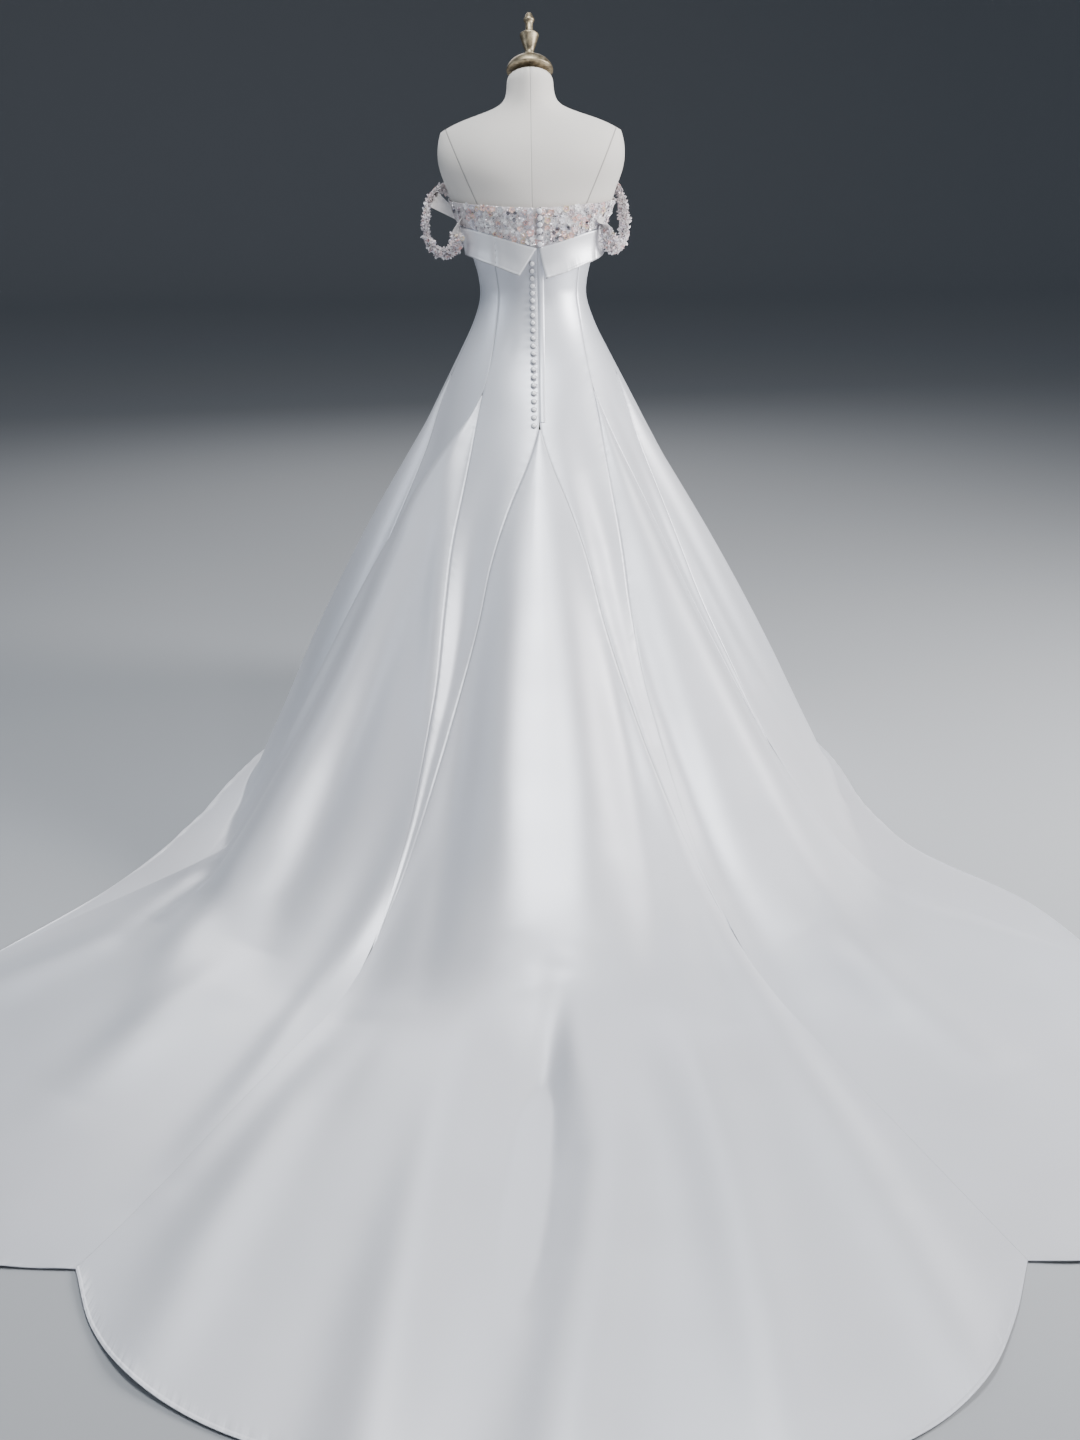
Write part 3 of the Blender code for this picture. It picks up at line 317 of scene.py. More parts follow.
def linenFinish():
    look = formLook
    finish = Finish("formLinen", {"Sheen Weight": 0.3, "Sheen Roughness": 0.6})
    body = finish.place("Object")
    along = finish.noise(finish.place("Object", (240.0, 240.0, 1500.0)), 1.0, 2.0)   # slubby threads both ways
    across = finish.noise(finish.place("Object", (1500.0, 1500.0, 200.0)), 1.0, 2.0)
    cloud = finish.noise(body, 9.0, 3.0)
    side, back, height = (finish.part(body, axis) for axis in "XYZ")
    behind = back > 0.0
    middle = side.away(0.0)
    slant = (side.away(0.0) - (height * look["armholeLean"] + look["armholeStart"])).away(0.0)
    seam = (middle.fade(0.0005, 0.0018) * 0.5 + slant.fade(0.0006, 0.0022)) * behind
    tone = finish.blend(cloud, look["light"], look["deep"])
    tone = finish.blend((along + across) * 0.22, tone, look["thread"])
    finish.feed("Base Color", finish.blend(seam * 0.7, tone, look["seam"]))
    finish.feed("Roughness", 0.78 + along * 0.14)
    finish.relief((along + across) * 0.00012 - seam * 0.0008 + cloud * 0.0010)
    return finish.material


def brassFinish():
    finish = Finish("agedBrass", {"Metallic": 1.0})
    body = finish.place("Object")
    patina = finish.noise(body, 55.0, 5.0, 0.65)
    scratch = finish.noise(finish.place("Object", (400.0, 400.0, 60.0)), 1.0, 3.0)
    tone = finish.ramp(patina, [(0.30, (0.09, 0.075, 0.055, 1.0)), (0.50, (0.34, 0.28, 0.19, 1.0)), (0.75,
        (0.64, 0.56, 0.41, 1.0))])
    finish.feed("Base Color", tone)
    finish.feed("Roughness", 0.30 + patina * 0.30 + scratch * 0.08)
    finish.relief(patina * 0.00035 + scratch * 0.00008)
    return finish.material


# cloth: the outer face of a solid, as rows and columns of points

around = {(0, 1), (1, 0), (1, 1), (0, -1), (-1, 0), (-1, -1)}


def neighbours(spot):
    return {(spot[0] + row, spot[1] + column) for row, column in around}


def outward(point, centre):
    if centre is not None:
        return (point - Vector(centre)).normalized()
    rise = 0.6 if point.z < 1.0 else 0.0
    return Vector((point.x, point.y, 0.0)).normalized() + Vector((0.0, 0.0, rise))


def clothRegion(shape, foldLimit, rim, centre):
    # faces of one side of a wall, which its folds part from the rim
    limit = math.radians(foldLimit)
    unseen = {face for face in shape.faces if min(edge.calc_length() for edge in face.edges) > rim}
    best, bestWorth = None, -1e9
    while unseen:
        start = unseen.pop()
        region, queue = {start}, [start]
        while queue:
            for edge in queue.pop().edges:
                if edge.calc_face_angle(0.0) < limit:
                    for face in edge.link_faces:
                        if face in unseen:
                            unseen.discard(face)
                            region.add(face)
                            queue.append(face)
        worth = sum(face.calc_area() * face.normal.dot(outward(face.calc_center_median(),
            centre)) for face in region)
        if worth > bestWorth:
            best, bestWorth = region, worth
    return best


def clothRows(name, foldLimit=50.0, rim=0.0, centre=None):
    # every point gets a row and a column by walking from a corner over the wall's triangles
    shape = bmesh.new()
    shape.from_mesh(nodes[name].data)
    bmesh.ops.remove_doubles(shape, verts=shape.verts, dist=1e-5)
    region = clothRegion(shape, foldLimit, rim, centre)
    links = {}
    for face in region:
        for edge in face.edges:
            for corner in edge.verts:
                links.setdefault(corner, set()).add(edge)
    corner = next(point for point, edges in links.items() if len(edges) == 2)
    first = next(face for face in corner.link_faces if face in region)
    one, other = [point for point in first.verts if point is not corner]
    spots = {corner: (0, 0), one: (0, -1), other: (1, 0)}
    queue, done = [first], {first}
    while queue:
        face = queue.pop()
        for edge in face.edges:
            third = next(point for point in face.verts if point not in edge.verts)
            for beside in edge.link_faces:
                if beside in region and beside not in done:
                    new = next(point for point in beside.verts if point not in edge.verts)
                    free = neighbours(spots[edge.verts[0]]) & neighbours(spots[edge.verts[1]]) - {spots[third]}
                    spots.setdefault(new, free.pop())
                    done.add(beside)
                    queue.append(beside)
    places = np.array(list(spots.values()))
    places -= places.min(0)
    rows, columns = places.max(0) + 1
    assert rows * columns == len(spots), (name, rows, columns, len(spots))
    grid = np.zeros((rows, columns, 3))
    for (row, column), point in zip(places, spots):
        grid[row, column] = point.co
    shape.free()
    drops = abs(grid[0] - grid[-1]).mean(0)[2], abs(grid[:, 0] - grid[:, -1]).mean(0)[2]
    if drops[1] > drops[0]:
        grid = grid.transpose(1, 0, 2)
    if grid[0, :, 2].mean() < grid[-1, :, 2].mean():
        grid = grid[::-1]
    start, end = grid[:, 0].mean(0), grid[:, -1].mean(0)
    if start[0] * end[1] - start[1] * end[0] > 0:   # columns run towards the wearer's left
        grid = grid[:, ::-1]
    return grid


def slopesAlong(points, knots):
    before, after = np.diff(knots, axis=0)[:-1, :, None], np.diff(knots, axis=0)[1:, :, None]
    rises = np.diff(points, axis=0) / np.diff(knots, axis=0)[:, :, None]
    middle = (rises[:-1] * after + rises[1:] * before) / (before + after)
    return np.concatenate([rises[:1], middle, rises[-1:]])


def finerRows(points, spacing, endRow=0.0):
    # smooth rows between the given ones, no further apart than the spacing
    steps = np.maximum(np.linalg.norm(np.diff(points, axis=0), axis=2), 1e-6)
    knots = np.concatenate([np.zeros((1, points.shape[1])), np.cumsum(steps, axis=0)])
    slopes = slopesAlong(points, knots)
    made = []
    for number, step in enumerate(steps):
        parts = list(np.arange(0.0, 1.0, 1.0 / max(1, math.ceil(step.max() / spacing))))
        if endRow and number == len(steps) - 1:
            parts.append(1 - endRow / step.mean())
        pull = step[:, None]
        for part in parts:
            rest = 1 - part
            made.append(
                points[number] * (1 + 2 * part) * rest**2 + slopes[number] * pull * part * rest**2
                + points[number + 1] * part**2 * (3 - 2 * part) - slopes[number + 1] * pull * part**2 * rest
            )
    made.append(points[-1])
    return np.array(made)


def finerGrid(grid, spacing, endRow=0.0):
    down = finerRows(grid, spacing, endRow)
    return finerRows(down.transpose(1, 0, 2), spacing).transpose(1, 0, 2)


def relaxed(points, passes, strength=0.25):
    # evens out the inside of a cloth and keeps its edges
    for _ in range(passes):
        inside = points[1:-1, 1:-1]
        beside = points[1:-1, :-2] + points[1:-1, 2:] + points[:-2, 1:-1] + points[2:, 1:-1]
        points = points.copy()
        points[1:-1, 1:-1] = inside * (1 - strength) + beside * (strength / 4)
    return points


def facings(points):
    across, down = np.gradient(points, axis=1), np.gradient(points, axis=0)
    normals = np.cross(across, down)
    return normals / np.maximum(np.linalg.norm(normals, axis=2, keepdims=True), 1e-12)


def lengthsAlong(points, axis):
    steps = np.linalg.norm(np.diff(points, axis=axis), axis=2)
    start = np.zeros_like(points[:, :1, 0] if axis == 1 else points[:1, :, 0])
    return np.concatenate([start, np.cumsum(steps, axis=axis)], axis=axis)


def clothMesh(name, points, material):
    # a sheet whose UV map and distances are in metres of cloth
    rows, columns = points.shape[:2]
    number = np.arange(rows * columns).reshape(rows, columns)
    faces = np.stack([number[:-1, :-1], number[1:, :-1], number[1:, 1:], number[:-1, 1:]],
        axis=-1).reshape(-1, 4)
    mesh = bpy.data.meshes.new(name)
    mesh.from_pydata(points.reshape(-1, 3).tolist(), [], faces.tolist())
    across, down = lengthsAlong(points, 1), lengthsAlong(points, 0)
    width, length = across[:, -1:], down[-1:]
    seam = np.minimum(across, width - across)
    hem = np.broadcast_to(length - down, seam.shape)
    for title, values in (("seam", seam), ("hem", hem)):
        mesh.attributes.new(title, "FLOAT", "POINT").data.foreach_set("value",
            values.astype(np.float32).ravel())
    middle = across - width / 2
    flat = np.stack([middle, -down], axis=-1).reshape(-1, 2)[faces.ravel()]
    mesh.uv_layers.new(name="cloth").data.foreach_set("uv", flat.astype(np.float32).ravel())
    mesh.materials.append(material)
    mesh.shade_smooth()
    return linked(name, mesh)


def applyAll(piece):
    bpy.ops.object.select_all(action="DESELECT")
    bpy.context.view_layer.objects.active = piece
    piece.select_set(True)
    for modifier in list(piece.modifiers):
        bpy.ops.object.modifier_apply(modifier=modifier.name)
    piece.select_set(False)


def thickened(piece, thickness, rounding=0.0):
    wall = piece.modifiers.new("wall", "SOLIDIFY")
    wall.thickness = thickness
    wall.offset = -1.0
    if rounding:
        soft = piece.modifiers.new("soft", "BEVEL")
        soft.width = rounding
        soft.segments = 2
        soft.limit_method = "ANGLE"
        soft.angle_limit = math.radians(50)
    applyAll(piece)
    piece.select_set(True)
    bpy.ops.object.shade_smooth_by_angle(angle=math.radians(42))
    piece.select_set(False)


cutSizes = dict(
    satin_panel_back_left=(0.146, 1.673), satin_panel_back_right=(0.139, 1.667),
    satin_panel_side_back_left=(0.140, 1.176), satin_panel_side_back_right=(0.118, 1.290),
    satin_panel_side_front_left=(0.550, 1.422), satin_panel_side_front_right=(0.548, 1.418),
    satin_panel_front=(0.645, 1.409), satin_gore_back=(1.215, 2.282),
    satin_gore_side_back_left=(0.730, 2.159), satin_gore_side_back_right=(0.654, 2.201),
    satin_gore_side_left=(0.686, 1.770), satin_gore_side_right=(0.773, 1.787),
    satin_cuff_left=(0.206, 0.067), satin_cuff_right=(0.216, 0.069), satin_cuff_front=(0.506, 0.116),
    placket_lap=(0.019, 0.397), tulle_yoke_back_left=(0.221, 0.083), tulle_yoke_back_right=(0.239, 0.084),
    tulle_yoke_front=(0.549, 0.087), tulle_strap_left=(0.027, 0.361), tulle_strap_right=(0.027, 0.339),
    tulle_strap_web=(0.118, 0.038))


def cutArea(points):
    sides = np.cross(points[1:, :-1] - points[:-1, :-1], points[:-1, 1:] - points[:-1, :-1])
    others = np.cross(points[:-1, 1:] - points[1:, 1:], points[1:, :-1] - points[1:, 1:])
    return float(np.linalg.norm(sides, axis=2).sum() + np.linalg.norm(others, axis=2).sum()) / 2


def declareCloth(piece, points):
    (width, length), area = cutSizes[piece.name], cutArea(points)
    print("cloth", piece.name, "cut", round(width, 3), "x", round(length, 3), "area", round(area, 4))


# folds that the light shows on the satin

def skirtRay(angle, start, end, lean=0.0):
    # a fold that runs out from the body in a direction, turning by lean on its way
    path = []
    for step in range(4):
        turn = math.radians(angle + lean * step / 3)
        reach = start + (end - start) * step / 3
        path.append((reach * math.sin(turn), reach * math.cos(turn)))
    return path


skirtFolds = {
    "crestLeft": dict(path=[(0.045, 0.32), (0.066, 0.52), (0.075, 0.80), (0.062, 1.15)], width=0.054,
        depth=0.008),
    "crestRight": dict(path=[(-0.040, 0.32), (-0.075, 0.55), (-0.095, 0.85), (-0.075, 1.18)], width=0.054,
        depth=0.009),
    "crestDipLeft": dict(path=[(0.115, 0.42), (0.150, 0.70), (0.190, 1.02), (0.215, 1.25)], width=0.036,
        depth=-0.008),
    "crestDipRight": dict(path=[(-0.120, 0.45), (-0.165, 0.72), (-0.200, 1.02), (-0.190, 1.30)],
        width=0.036, depth=-0.010),
    "trainRidge": dict(path=[(0.012, 1.22), (-0.040, 1.36), (-0.075, 1.53), (-0.086, 1.69), (-0.068, 1.89),
        (-0.030, 2.10), (0.000, 2.30), (0.015, 2.55)], width=0.060, depth=0.022),
    "trainValley": dict(path=[(-0.030, 1.20), (-0.008, 1.42), (0.029, 1.68), (0.047, 1.98)], width=0.030,
        depth=-0.014),
    "trainSpread": dict(path=[(0.095, 1.18), (0.125, 1.42), (0.162, 1.72), (0.194, 2.00), (0.215, 2.25),
        (0.225, 2.50)], width=0.058, depth=0.018),
    "trainRight": dict(path=[(-0.215, 1.24), (-0.240, 1.48), (-0.262, 1.76), (-0.270, 2.02), (-0.265,
        2.35)], width=0.055, depth=0.014),
    "trainFarLeft": dict(path=[(0.315, 1.26), (0.400, 1.52), (0.470, 1.84), (0.520, 2.15)], width=0.055,
        depth=0.013),
    "trainFarRight": dict(path=[(-0.335, 1.30), (-0.420, 1.58), (-0.485, 1.88), (-0.530, 2.20)],
        width=0.055, depth=0.015),
    "leftBand": dict(path=[(0.205, 0.66), (0.257, 0.86), (0.325, 1.02), (0.390, 1.18), (0.445, 1.38),
        (0.505, 1.58), (0.55, 1.74)], width=0.040, depth=0.014),
    "rightBand": dict(path=[(-0.225, 0.66), (-0.284, 0.87), (-0.322, 1.01), (-0.368, 1.18), (-0.410, 1.41),
        (-0.452, 1.61), (-0.49, 1.78)], width=0.040, depth=0.013),
    "leftFan": dict(path=[(0.52, 1.05), (0.64, 1.28), (0.76, 1.52)], width=0.060, depth=0.016),
    "rightFan": dict(path=[(-0.50, 1.02), (-0.62, 1.26), (-0.74, 1.50)], width=0.060, depth=0.015),
    "leftWing": dict(path=[(0.74, 0.92), (0.92, 1.08), (1.10, 1.24)], width=0.060, depth=0.014),
    "rightWing": dict(path=[(-0.72, 0.90), (-0.90, 1.06), (-1.08, 1.20)], width=0.060, depth=0.014),
    "sideBackCrest": dict(path=[(0.165, 0.21), (0.186, 0.27), (0.203, 0.38), (0.215, 0.51), (0.235, 0.68)],
        width=0.030, depth=0.010),
    "sideBackHollow": dict(path=[(0.235, 0.27), (0.315, 0.44), (0.410, 0.66), (0.500, 0.92), (0.545, 1.24)],
        width=0.055, depth=-0.017),
    "sideBackRoll": dict(path=[(0.335, 0.36), (0.470, 0.57), (0.600, 0.80), (0.665, 1.06), (0.69, 1.35)],
        width=0.050, depth=0.011),
    "leftTrough": dict(path=[(0.235, 0.12), (0.285, 0.19), (0.335, 0.28), (0.46, 0.42), (0.58, 0.56), (0.70,
        0.74), (0.79, 1.00)], width=0.038, depth=-0.019),
    "rightCrest": dict(path=[(-0.045, 0.24), (-0.106, 0.39), (-0.147, 0.51), (-0.200, 0.66), (-0.254, 0.81),
        (-0.29, 0.98)], width=0.034, depth=0.009),
    "rightCrease": dict(path=[(-0.095, 0.26), (-0.160, 0.38), (-0.215, 0.52), (-0.280, 0.72), (-0.35,
        0.98)], width=0.040, depth=-0.010),
    "rightRoll": dict(path=[(-0.210, 0.26), (-0.330, 0.45), (-0.455, 0.69), (-0.560, 0.98), (-0.60, 1.28)],
        width=0.045, depth=0.010),
    "rightHollow": dict(path=[(-0.265, 0.25), (-0.410, 0.43), (-0.560, 0.65), (-0.680, 0.95)], width=0.042,
        depth=-0.010),
    "leftHip": dict(path=skirtRay(68.0, 0.22, 0.62, -4.0), width=0.034, depth=-0.009),
    "rightHip": dict(path=skirtRay(-66.0, 0.22, 0.64, 5.0), width=0.034, depth=-0.009),
    "leftSide": dict(path=skirtRay(84.0, 0.24, 0.66, 3.0), width=0.040, depth=0.009),
    "rightSide": dict(path=skirtRay(-80.0, 0.24, 0.66, -4.0), width=0.042, depth=0.009),
    "leftFlank": dict(path=skirtRay(104.0, 0.26, 0.62, 4.0), width=0.038, depth=-0.012),
    "rightFlank": dict(path=skirtRay(-102.0, 0.25, 0.62, 3.0), width=0.040, depth=-0.011),
    "leftFront": dict(path=skirtRay(121.0, 0.23, 0.60, -3.0), width=0.040, depth=0.012),
    "rightFront": dict(path=skirtRay(-124.0, 0.24, 0.60, 4.0), width=0.038, depth=0.011),
    "leftFrontDip": dict(path=skirtRay(137.0, 0.26, 0.58, 4.0), width=0.032, depth=-0.011),
    "rightFrontDip": dict(path=skirtRay(-141.0, 0.25, 0.58, -4.0), width=0.034, depth=-0.012),
    "frontLeftRoll": dict(path=skirtRay(157.0, 0.24, 0.58, 3.0), width=0.036, depth=0.011),
    "frontDip": dict(path=skirtRay(176.0, 0.28, 0.58, -5.0), width=0.040, depth=-0.010),
    "frontRightRoll": dict(path=skirtRay(-160.0, 0.24, 0.58, 3.0), width=0.036, depth=0.010),
}
bodiceFolds = {   # direction in degrees from centre back, and height
    "waistLeft": dict(path=[(28.0, 1.128), (44.0, 1.119), (62.0, 1.124)], width=0.007, depth=-0.0011),
    "waistLeftLow": dict(path=[(34.0, 1.098), (50.0, 1.092), (70.0, 1.099)], width=0.008, depth=-0.0010),
    "waistRight": dict(path=[(-30.0, 1.126), (-48.0, 1.118), (-66.0, 1.125)], width=0.007, depth=-0.0009),
    "waistFront": dict(path=[(128.0, 1.121), (165.0, 1.112), (205.0, 1.120)], width=0.008, depth=-0.0010),
    "hipLeft": dict(path=[(20.0, 1.04), (26.0, 0.98)], width=0.012, depth=-0.0010),
    "closingPull": dict(path=[(3.0, 1.065), (16.0, 1.052)], width=0.006, depth=-0.0006),
    "closingPullLow": dict(path=[(3.0, 1.005), (14.0, 0.992)], width=0.007, depth=-0.0006),
}
foldLean = dict(flat=0.06, hanging=0.55, lift=0.7)   # heights, and how much of the upward push is lost


def pathReach(spots, path):
    # distance to a path, and how far along it
    best = np.full(spots.shape[:-1], 1e9)
    along = np.zeros_like(best)
    path = np.array(path)
    steps = np.linalg.norm(np.diff(path, axis=0), axis=1)
    marks = np.concatenate([[0.0], np.cumsum(steps)]) / steps.sum()
    for number, step in enumerate(np.diff(path, axis=0)):
        part = np.clip(((spots - path[number]) @ step) / (step @ step), 0.0, 1.0)
        gap = np.linalg.norm(spots - path[number] - part[..., None] * step, axis=-1)
        nearer = gap < best
        best = np.where(nearer, gap, best)
        along = np.where(nearer, marks[number] + part * (marks[number + 1] - marks[number]), along)
    return best, along


def foldMoves(points):
    # the skirt's folds push outwards high up and upwards on the floor, alike on both sides of a seam
    plan = points[..., :2]
    moved = np.zeros(points.shape[:2])
    low = np.clip((1.0 - points[..., 2]) / 0.05, 0.0, 1.0)
    for fold in skirtFolds.values():
        gap, along = pathReach(plan, fold["path"])
        taper = np.sin(np.pi * np.clip(along, 0.03, 0.97)) ** 0.7
        moved += fold["depth"] * np.exp(-((gap / fold["width"]) ** 2)) * taper * low
    steep = np.clip((points[..., 2:] - foldLean["flat"]) / (foldLean["hanging"] - foldLean["flat"]), 0.0, 1.0)
    radial = np.concatenate([plan / np.linalg.norm(plan, axis=2, keepdims=True), np.zeros_like(steep)],
        axis=2)
    way = radial * steep + np.array([0.0, 0.0, 1.0]) * (1 - steep * foldLean["lift"])
    return way / np.linalg.norm(way, axis=2, keepdims=True) * moved[..., None]


def creaseDepths(points):
    # small creases of the bodice
    turn = np.degrees(np.arctan2(points[..., 0], points[..., 1]))
    moved = np.zeros(points.shape[:2])
    for fold in bodiceFolds.values():
        path = [(math.radians(angle) * 0.13, height) for angle, height in fold["path"]]
        signedTurn = np.where((turn < -120.0) & (path[-1][0] > 0.3), turn + 360.0, turn)
        spots = np.stack([np.radians(signedTurn) * 0.13, points[..., 2]], axis=-1)
        gap, along = pathReach(spots, path)
        taper = np.sin(np.pi * np.clip(along, 0.03, 0.97)) ** 0.7
        moved += fold["depth"] * np.exp(-((gap / fold["width"]) ** 2)) * taper
    return moved


def edgeKeep(points, reach):
    # 0 at the side seams and 1 inside, so that neighbouring panels still meet
    across = lengthsAlong(points, 1)
    near = np.minimum(across, across[:, -1:] - across)
    part = np.clip(near / reach, 0.0, 1.0)
    return part * part * (3 - 2 * part)


satinPanels = {   # how fine each piece is drawn, and the fold that parts its outside from its rim
    **{f"panel_{part}": dict(spacing=0.010, foldLimit=50.0)
       for part in ("back_left", "back_right", "side_back_left", "side_back_right")},
    **{f"panel_{part}": dict(spacing=0.013, foldLimit=70.0)
       for part in ("side_front_left", "side_front_right", "front")},
    **{f"gore_{part}": dict(spacing=0.0125, foldLimit=40.0)
       for part in ("back", "side_back_left", "side_back_right", "side_left", "side_right")},
}
satinWall = dict(pointWidth=0.012, pointReach=0.075, thickness=0.0013, lowest=0.0020, seamReach=0.020,
    hemRow=0.004, hemLift=0.0016)


def pointed(points):
    # a panel that ends in a point runs on as a sliver between its neighbours
    width = lengthsAlong(points, 1)[-1, -1]
    if width > satinWall["pointWidth"]:
        return points
    middle = points[-1].mean(0)
    ahead = middle - points[-6].mean(0)
    ahead *= satinWall["pointReach"] / np.linalg.norm(ahead)
    extra = []
    for part in (0.25, 0.5, 0.75, 1.0):
        narrow = middle + (points[-1] - middle) * (1.35 - 0.95 * part)
        extra.append(narrow + ahead * part)
    return np.concatenate([points, extra])


def makeSatin(satin):
    faces = {}
    for name, cut in satinPanels.items():
        grid = clothRows(name, cut["foldLimit"])
        points = finerGrid(grid, cut["spacing"], satinWall["hemRow"])
        points = pointed(relaxed(points, 14))
        toFloor = grid[-1, :, 2].max() < 0.02
        creases = creaseDepths(points) * edgeKeep(points, satinWall["seamReach"])
        points = points + facings(points) * creases[..., None] + foldMoves(points)
        if toFloor:
            down = lengthsAlong(points, 0)
            close = np.exp(-((down[-1:] - down) / 0.012) ** 2)
            along = np.arctan2(points[..., 0], points[..., 1]) * 40.0
            wave = 0.5 + 0.5 * np.sin(along * 1.7 + 2.0 * np.sin(along * 0.43))
            points[..., 2] += close * wave * satinWall["hemLift"] * edgeKeep(points, 0.03)
        points[..., 2] = np.maximum(points[..., 2], satinWall["lowest"])
        piece = clothMesh(f"satin_{name}", points, satin)
        thickened(piece, satinWall["thickness"])
        settled(piece, "ivory_satin", name)
        declareCloth(piece, points)
        faces[name] = points
    return faces


cuffPieces = {
    "cuff_left": dict(seam=40.0),
    "cuff_right": dict(seam=-68.0),
    "cuff_front": dict(seam=170.0),
}
cuffCloth = dict(thickness=0.0021, spacing=0.006, bulge=0.0016, flare=0.0042)


def makeCuffs(satin):
    for name, cut in cuffPieces.items():
        grid = clothRows(name)
        points = relaxed(finerGrid(grid, cuffCloth["spacing"]), 4)
        normals = facings(points)
        down = lengthsAlong(points, 0)
        way = down / down[-1:]
        turn = np.degrees(np.arctan2(points[..., 0], points[..., 1]))
        puff = np.sin(np.pi * way) * cuffCloth["bulge"] * (0.7 + 0.5 * np.sin(np.radians(turn) * 9.0))
        gap = np.abs(turn - cut["seam"]) * math.radians(1.0) * 0.13
        dent = 0.0009 * np.exp(-(((gap - 0.010) / 0.007) ** 2))
        edge = cuffCloth["flare"] * np.exp(-(((1 - way) / 0.30) ** 2))
        points = points + normals * (puff + dent + edge)[..., None]
        piece = clothMesh(f"satin_{name}", points, satin)
        across = lengthsAlong(points, 1)
        ends = np.minimum(across, across[:, -1:] - across)
        piece.data.attributes["seam"].data.foreach_set("value", np.minimum(gap,
            ends).astype(np.float32).ravel())
        thickened(piece, cuffCloth["thickness"], 0.0008)
        settled(piece, "ivory_satin", name)
        declareCloth(piece, points)


# small things: modelled once, then set by the hundred as one mesh

def modelOnce(build):
    # the points and faces of a small thing, one unit in radius
    bpy.ops.object.select_all(action="DESELECT")
    build()
    made = bpy.context.active_object
    points = np.array([vertex.co for vertex in made.data.vertices])
    faces = [list(face.vertices) for face in made.data.polygons]
    bpy.data.objects.remove(made, do_unlink=True)
    return points, faces


def blossomShape():
    bpy.ops.mesh.primitive_circle_add(vertices=20, radius=1.0, fill_type="TRIFAN")
    bpy.ops.object.mode_set(mode="EDIT")
    bpy.ops.mesh.select_all(action="SELECT")
    bpy.ops.mesh.subdivide(number_cuts=1)
    bpy.ops.object.mode_set(mode="OBJECT")
    for vertex in bpy.context.active_object.data.vertices:
        reach, turn = math.hypot(vertex.co.x, vertex.co.y), math.atan2(vertex.co.y, vertex.co.x)
        lobe = abs(math.cos(2.5 * turn)) ** 0.45
        size = 1 - reach * 0.42 * (1 - lobe)
        vertex.co.x *= size
        vertex.co.y *= size
        vertex.co.z = 0.34 * reach**1.6 * (0.75 + 0.25 * lobe) - 0.10 * reach * (1 - lobe)


def petalShape():
    bpy.ops.mesh.primitive_grid_add(x_subdivisions=2, y_subdivisions=4, size=2.0)
    for vertex in bpy.context.active_object.data.vertices:
        across, along = vertex.co.x, (vertex.co.y + 1) / 2
        wide = 0.27 * math.sin(math.pi * min(0.12 + 0.80 * along, 1.0)) ** 0.8
        vertex.co = (across * wide, along, 0.30 * across * across * wide + 0.22 * math.sin(2.4 * along))


def crystalShape():
    bpy.ops.mesh.primitive_ico_sphere_add(subdivisions=1, radius=1.0)


def pearlShape():
    bpy.ops.mesh.primitive_uv_sphere_add(segments=8, ring_count=5, radius=1.0)


def sequinShape():
    bpy.ops.mesh.primitive_cone_add(vertices=9, radius1=1.0, radius2=0.0, depth=0.3, end_fill_type="NOTHING")


def scattered(name, thing, settings, material, smooth=True):
    # settings: a list of (place, out, turn, size, tint)
    points, faces = thing
    count = len(settings)
    places = np.array([item[0] for item in settings])
    outs = np.array([item[1] for item in settings])
    outs /= np.linalg.norm(outs, axis=1, keepdims=True)
    turns = np.array([item[2] for item in settings])
    sizes = np.array([item[3] for item in settings]).reshape(count, -1) * np.ones((1, 3))
    aside = np.cross(outs, np.array([0.0, 0.0, 1.0]) + 1e-3)
    aside /= np.linalg.norm(aside, axis=1, keepdims=True)
    other = np.cross(outs, aside)
    one = aside * np.cos(turns)[:, None] + other * np.sin(turns)[:, None]
    two = np.cross(outs, one)
    local = points[None] * sizes[:, None]
    made = places[:, None] + local[..., :1] * one[:, None] + local[..., 1:2] * two[:, None] + local[...,
        2:] * outs[:, None]
    length = len(points)
    allFaces = [[index + length * number for index in face] for number in range(count) for face in faces]
    mesh = bpy.data.meshes.new(name)
    mesh.from_pydata(made.reshape(-1, 3).tolist(), [], allFaces)
    tints = np.repeat([item[4] for item in settings], length).astype(np.float32)
    mesh.attributes.new("tint", "FLOAT", "POINT").data.foreach_set("value", tints)
    reach = np.linalg.norm(points[:, :2], axis=1)
    root = np.tile(np.clip(1 - reach / reach.max(), 0.0, 1.0) ** 2, count).astype(np.float32)
    mesh.attributes.new("root", "FLOAT", "POINT").data.foreach_set("value", root)
    mesh.materials.append(material)
    if smooth:
        mesh.shade_smooth()
    piece = linked(name, mesh)
    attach(piece, "root")
    return piece


# beaded yoke

blossomTones = [
    (0.00, (0.97, 0.96, 0.97, 1.0)), (0.34, (0.78, 0.76, 0.84, 1.0)), (0.55, (0.93, 0.74, 0.73, 1.0)),
    (0.74, (0.90, 0.50, 0.46, 1.0)), (0.88, (0.90, 0.76, 0.52, 1.0)), (1.00, (0.42, 0.43, 0.50, 1.0)),
]
beadTones = [(0.0, (0.90, 0.89, 0.92, 1.0)), (0.5, (0.74, 0.60, 0.62, 1.0)), (0.8, (0.24, 0.24, 0.29, 1.0)),
    (1.0, (0.05, 0.05, 0.07, 1.0))]
yokePieces = {
    "yoke_back_left": dict(clusters=9, blossoms=190, crystals=620, pearls=150, sequins=260, clear=0.72,
        seed=3),
    "yoke_back_right": dict(clusters=10, blossoms=190, crystals=620, pearls=150, sequins=260, clear=0.86,
        seed=5),
    "yoke_front": dict(clusters=20, blossoms=300, crystals=800, pearls=220, sequins=360, clear=1.0, seed=8),
}
yokeCloth = dict(thickness=0.0014, spacing=0.006, blossomSize=(0.0056, 0.0086), crystalSize=(0.0008,
    0.0016), pearlSize=(0.0011, 0.0017))


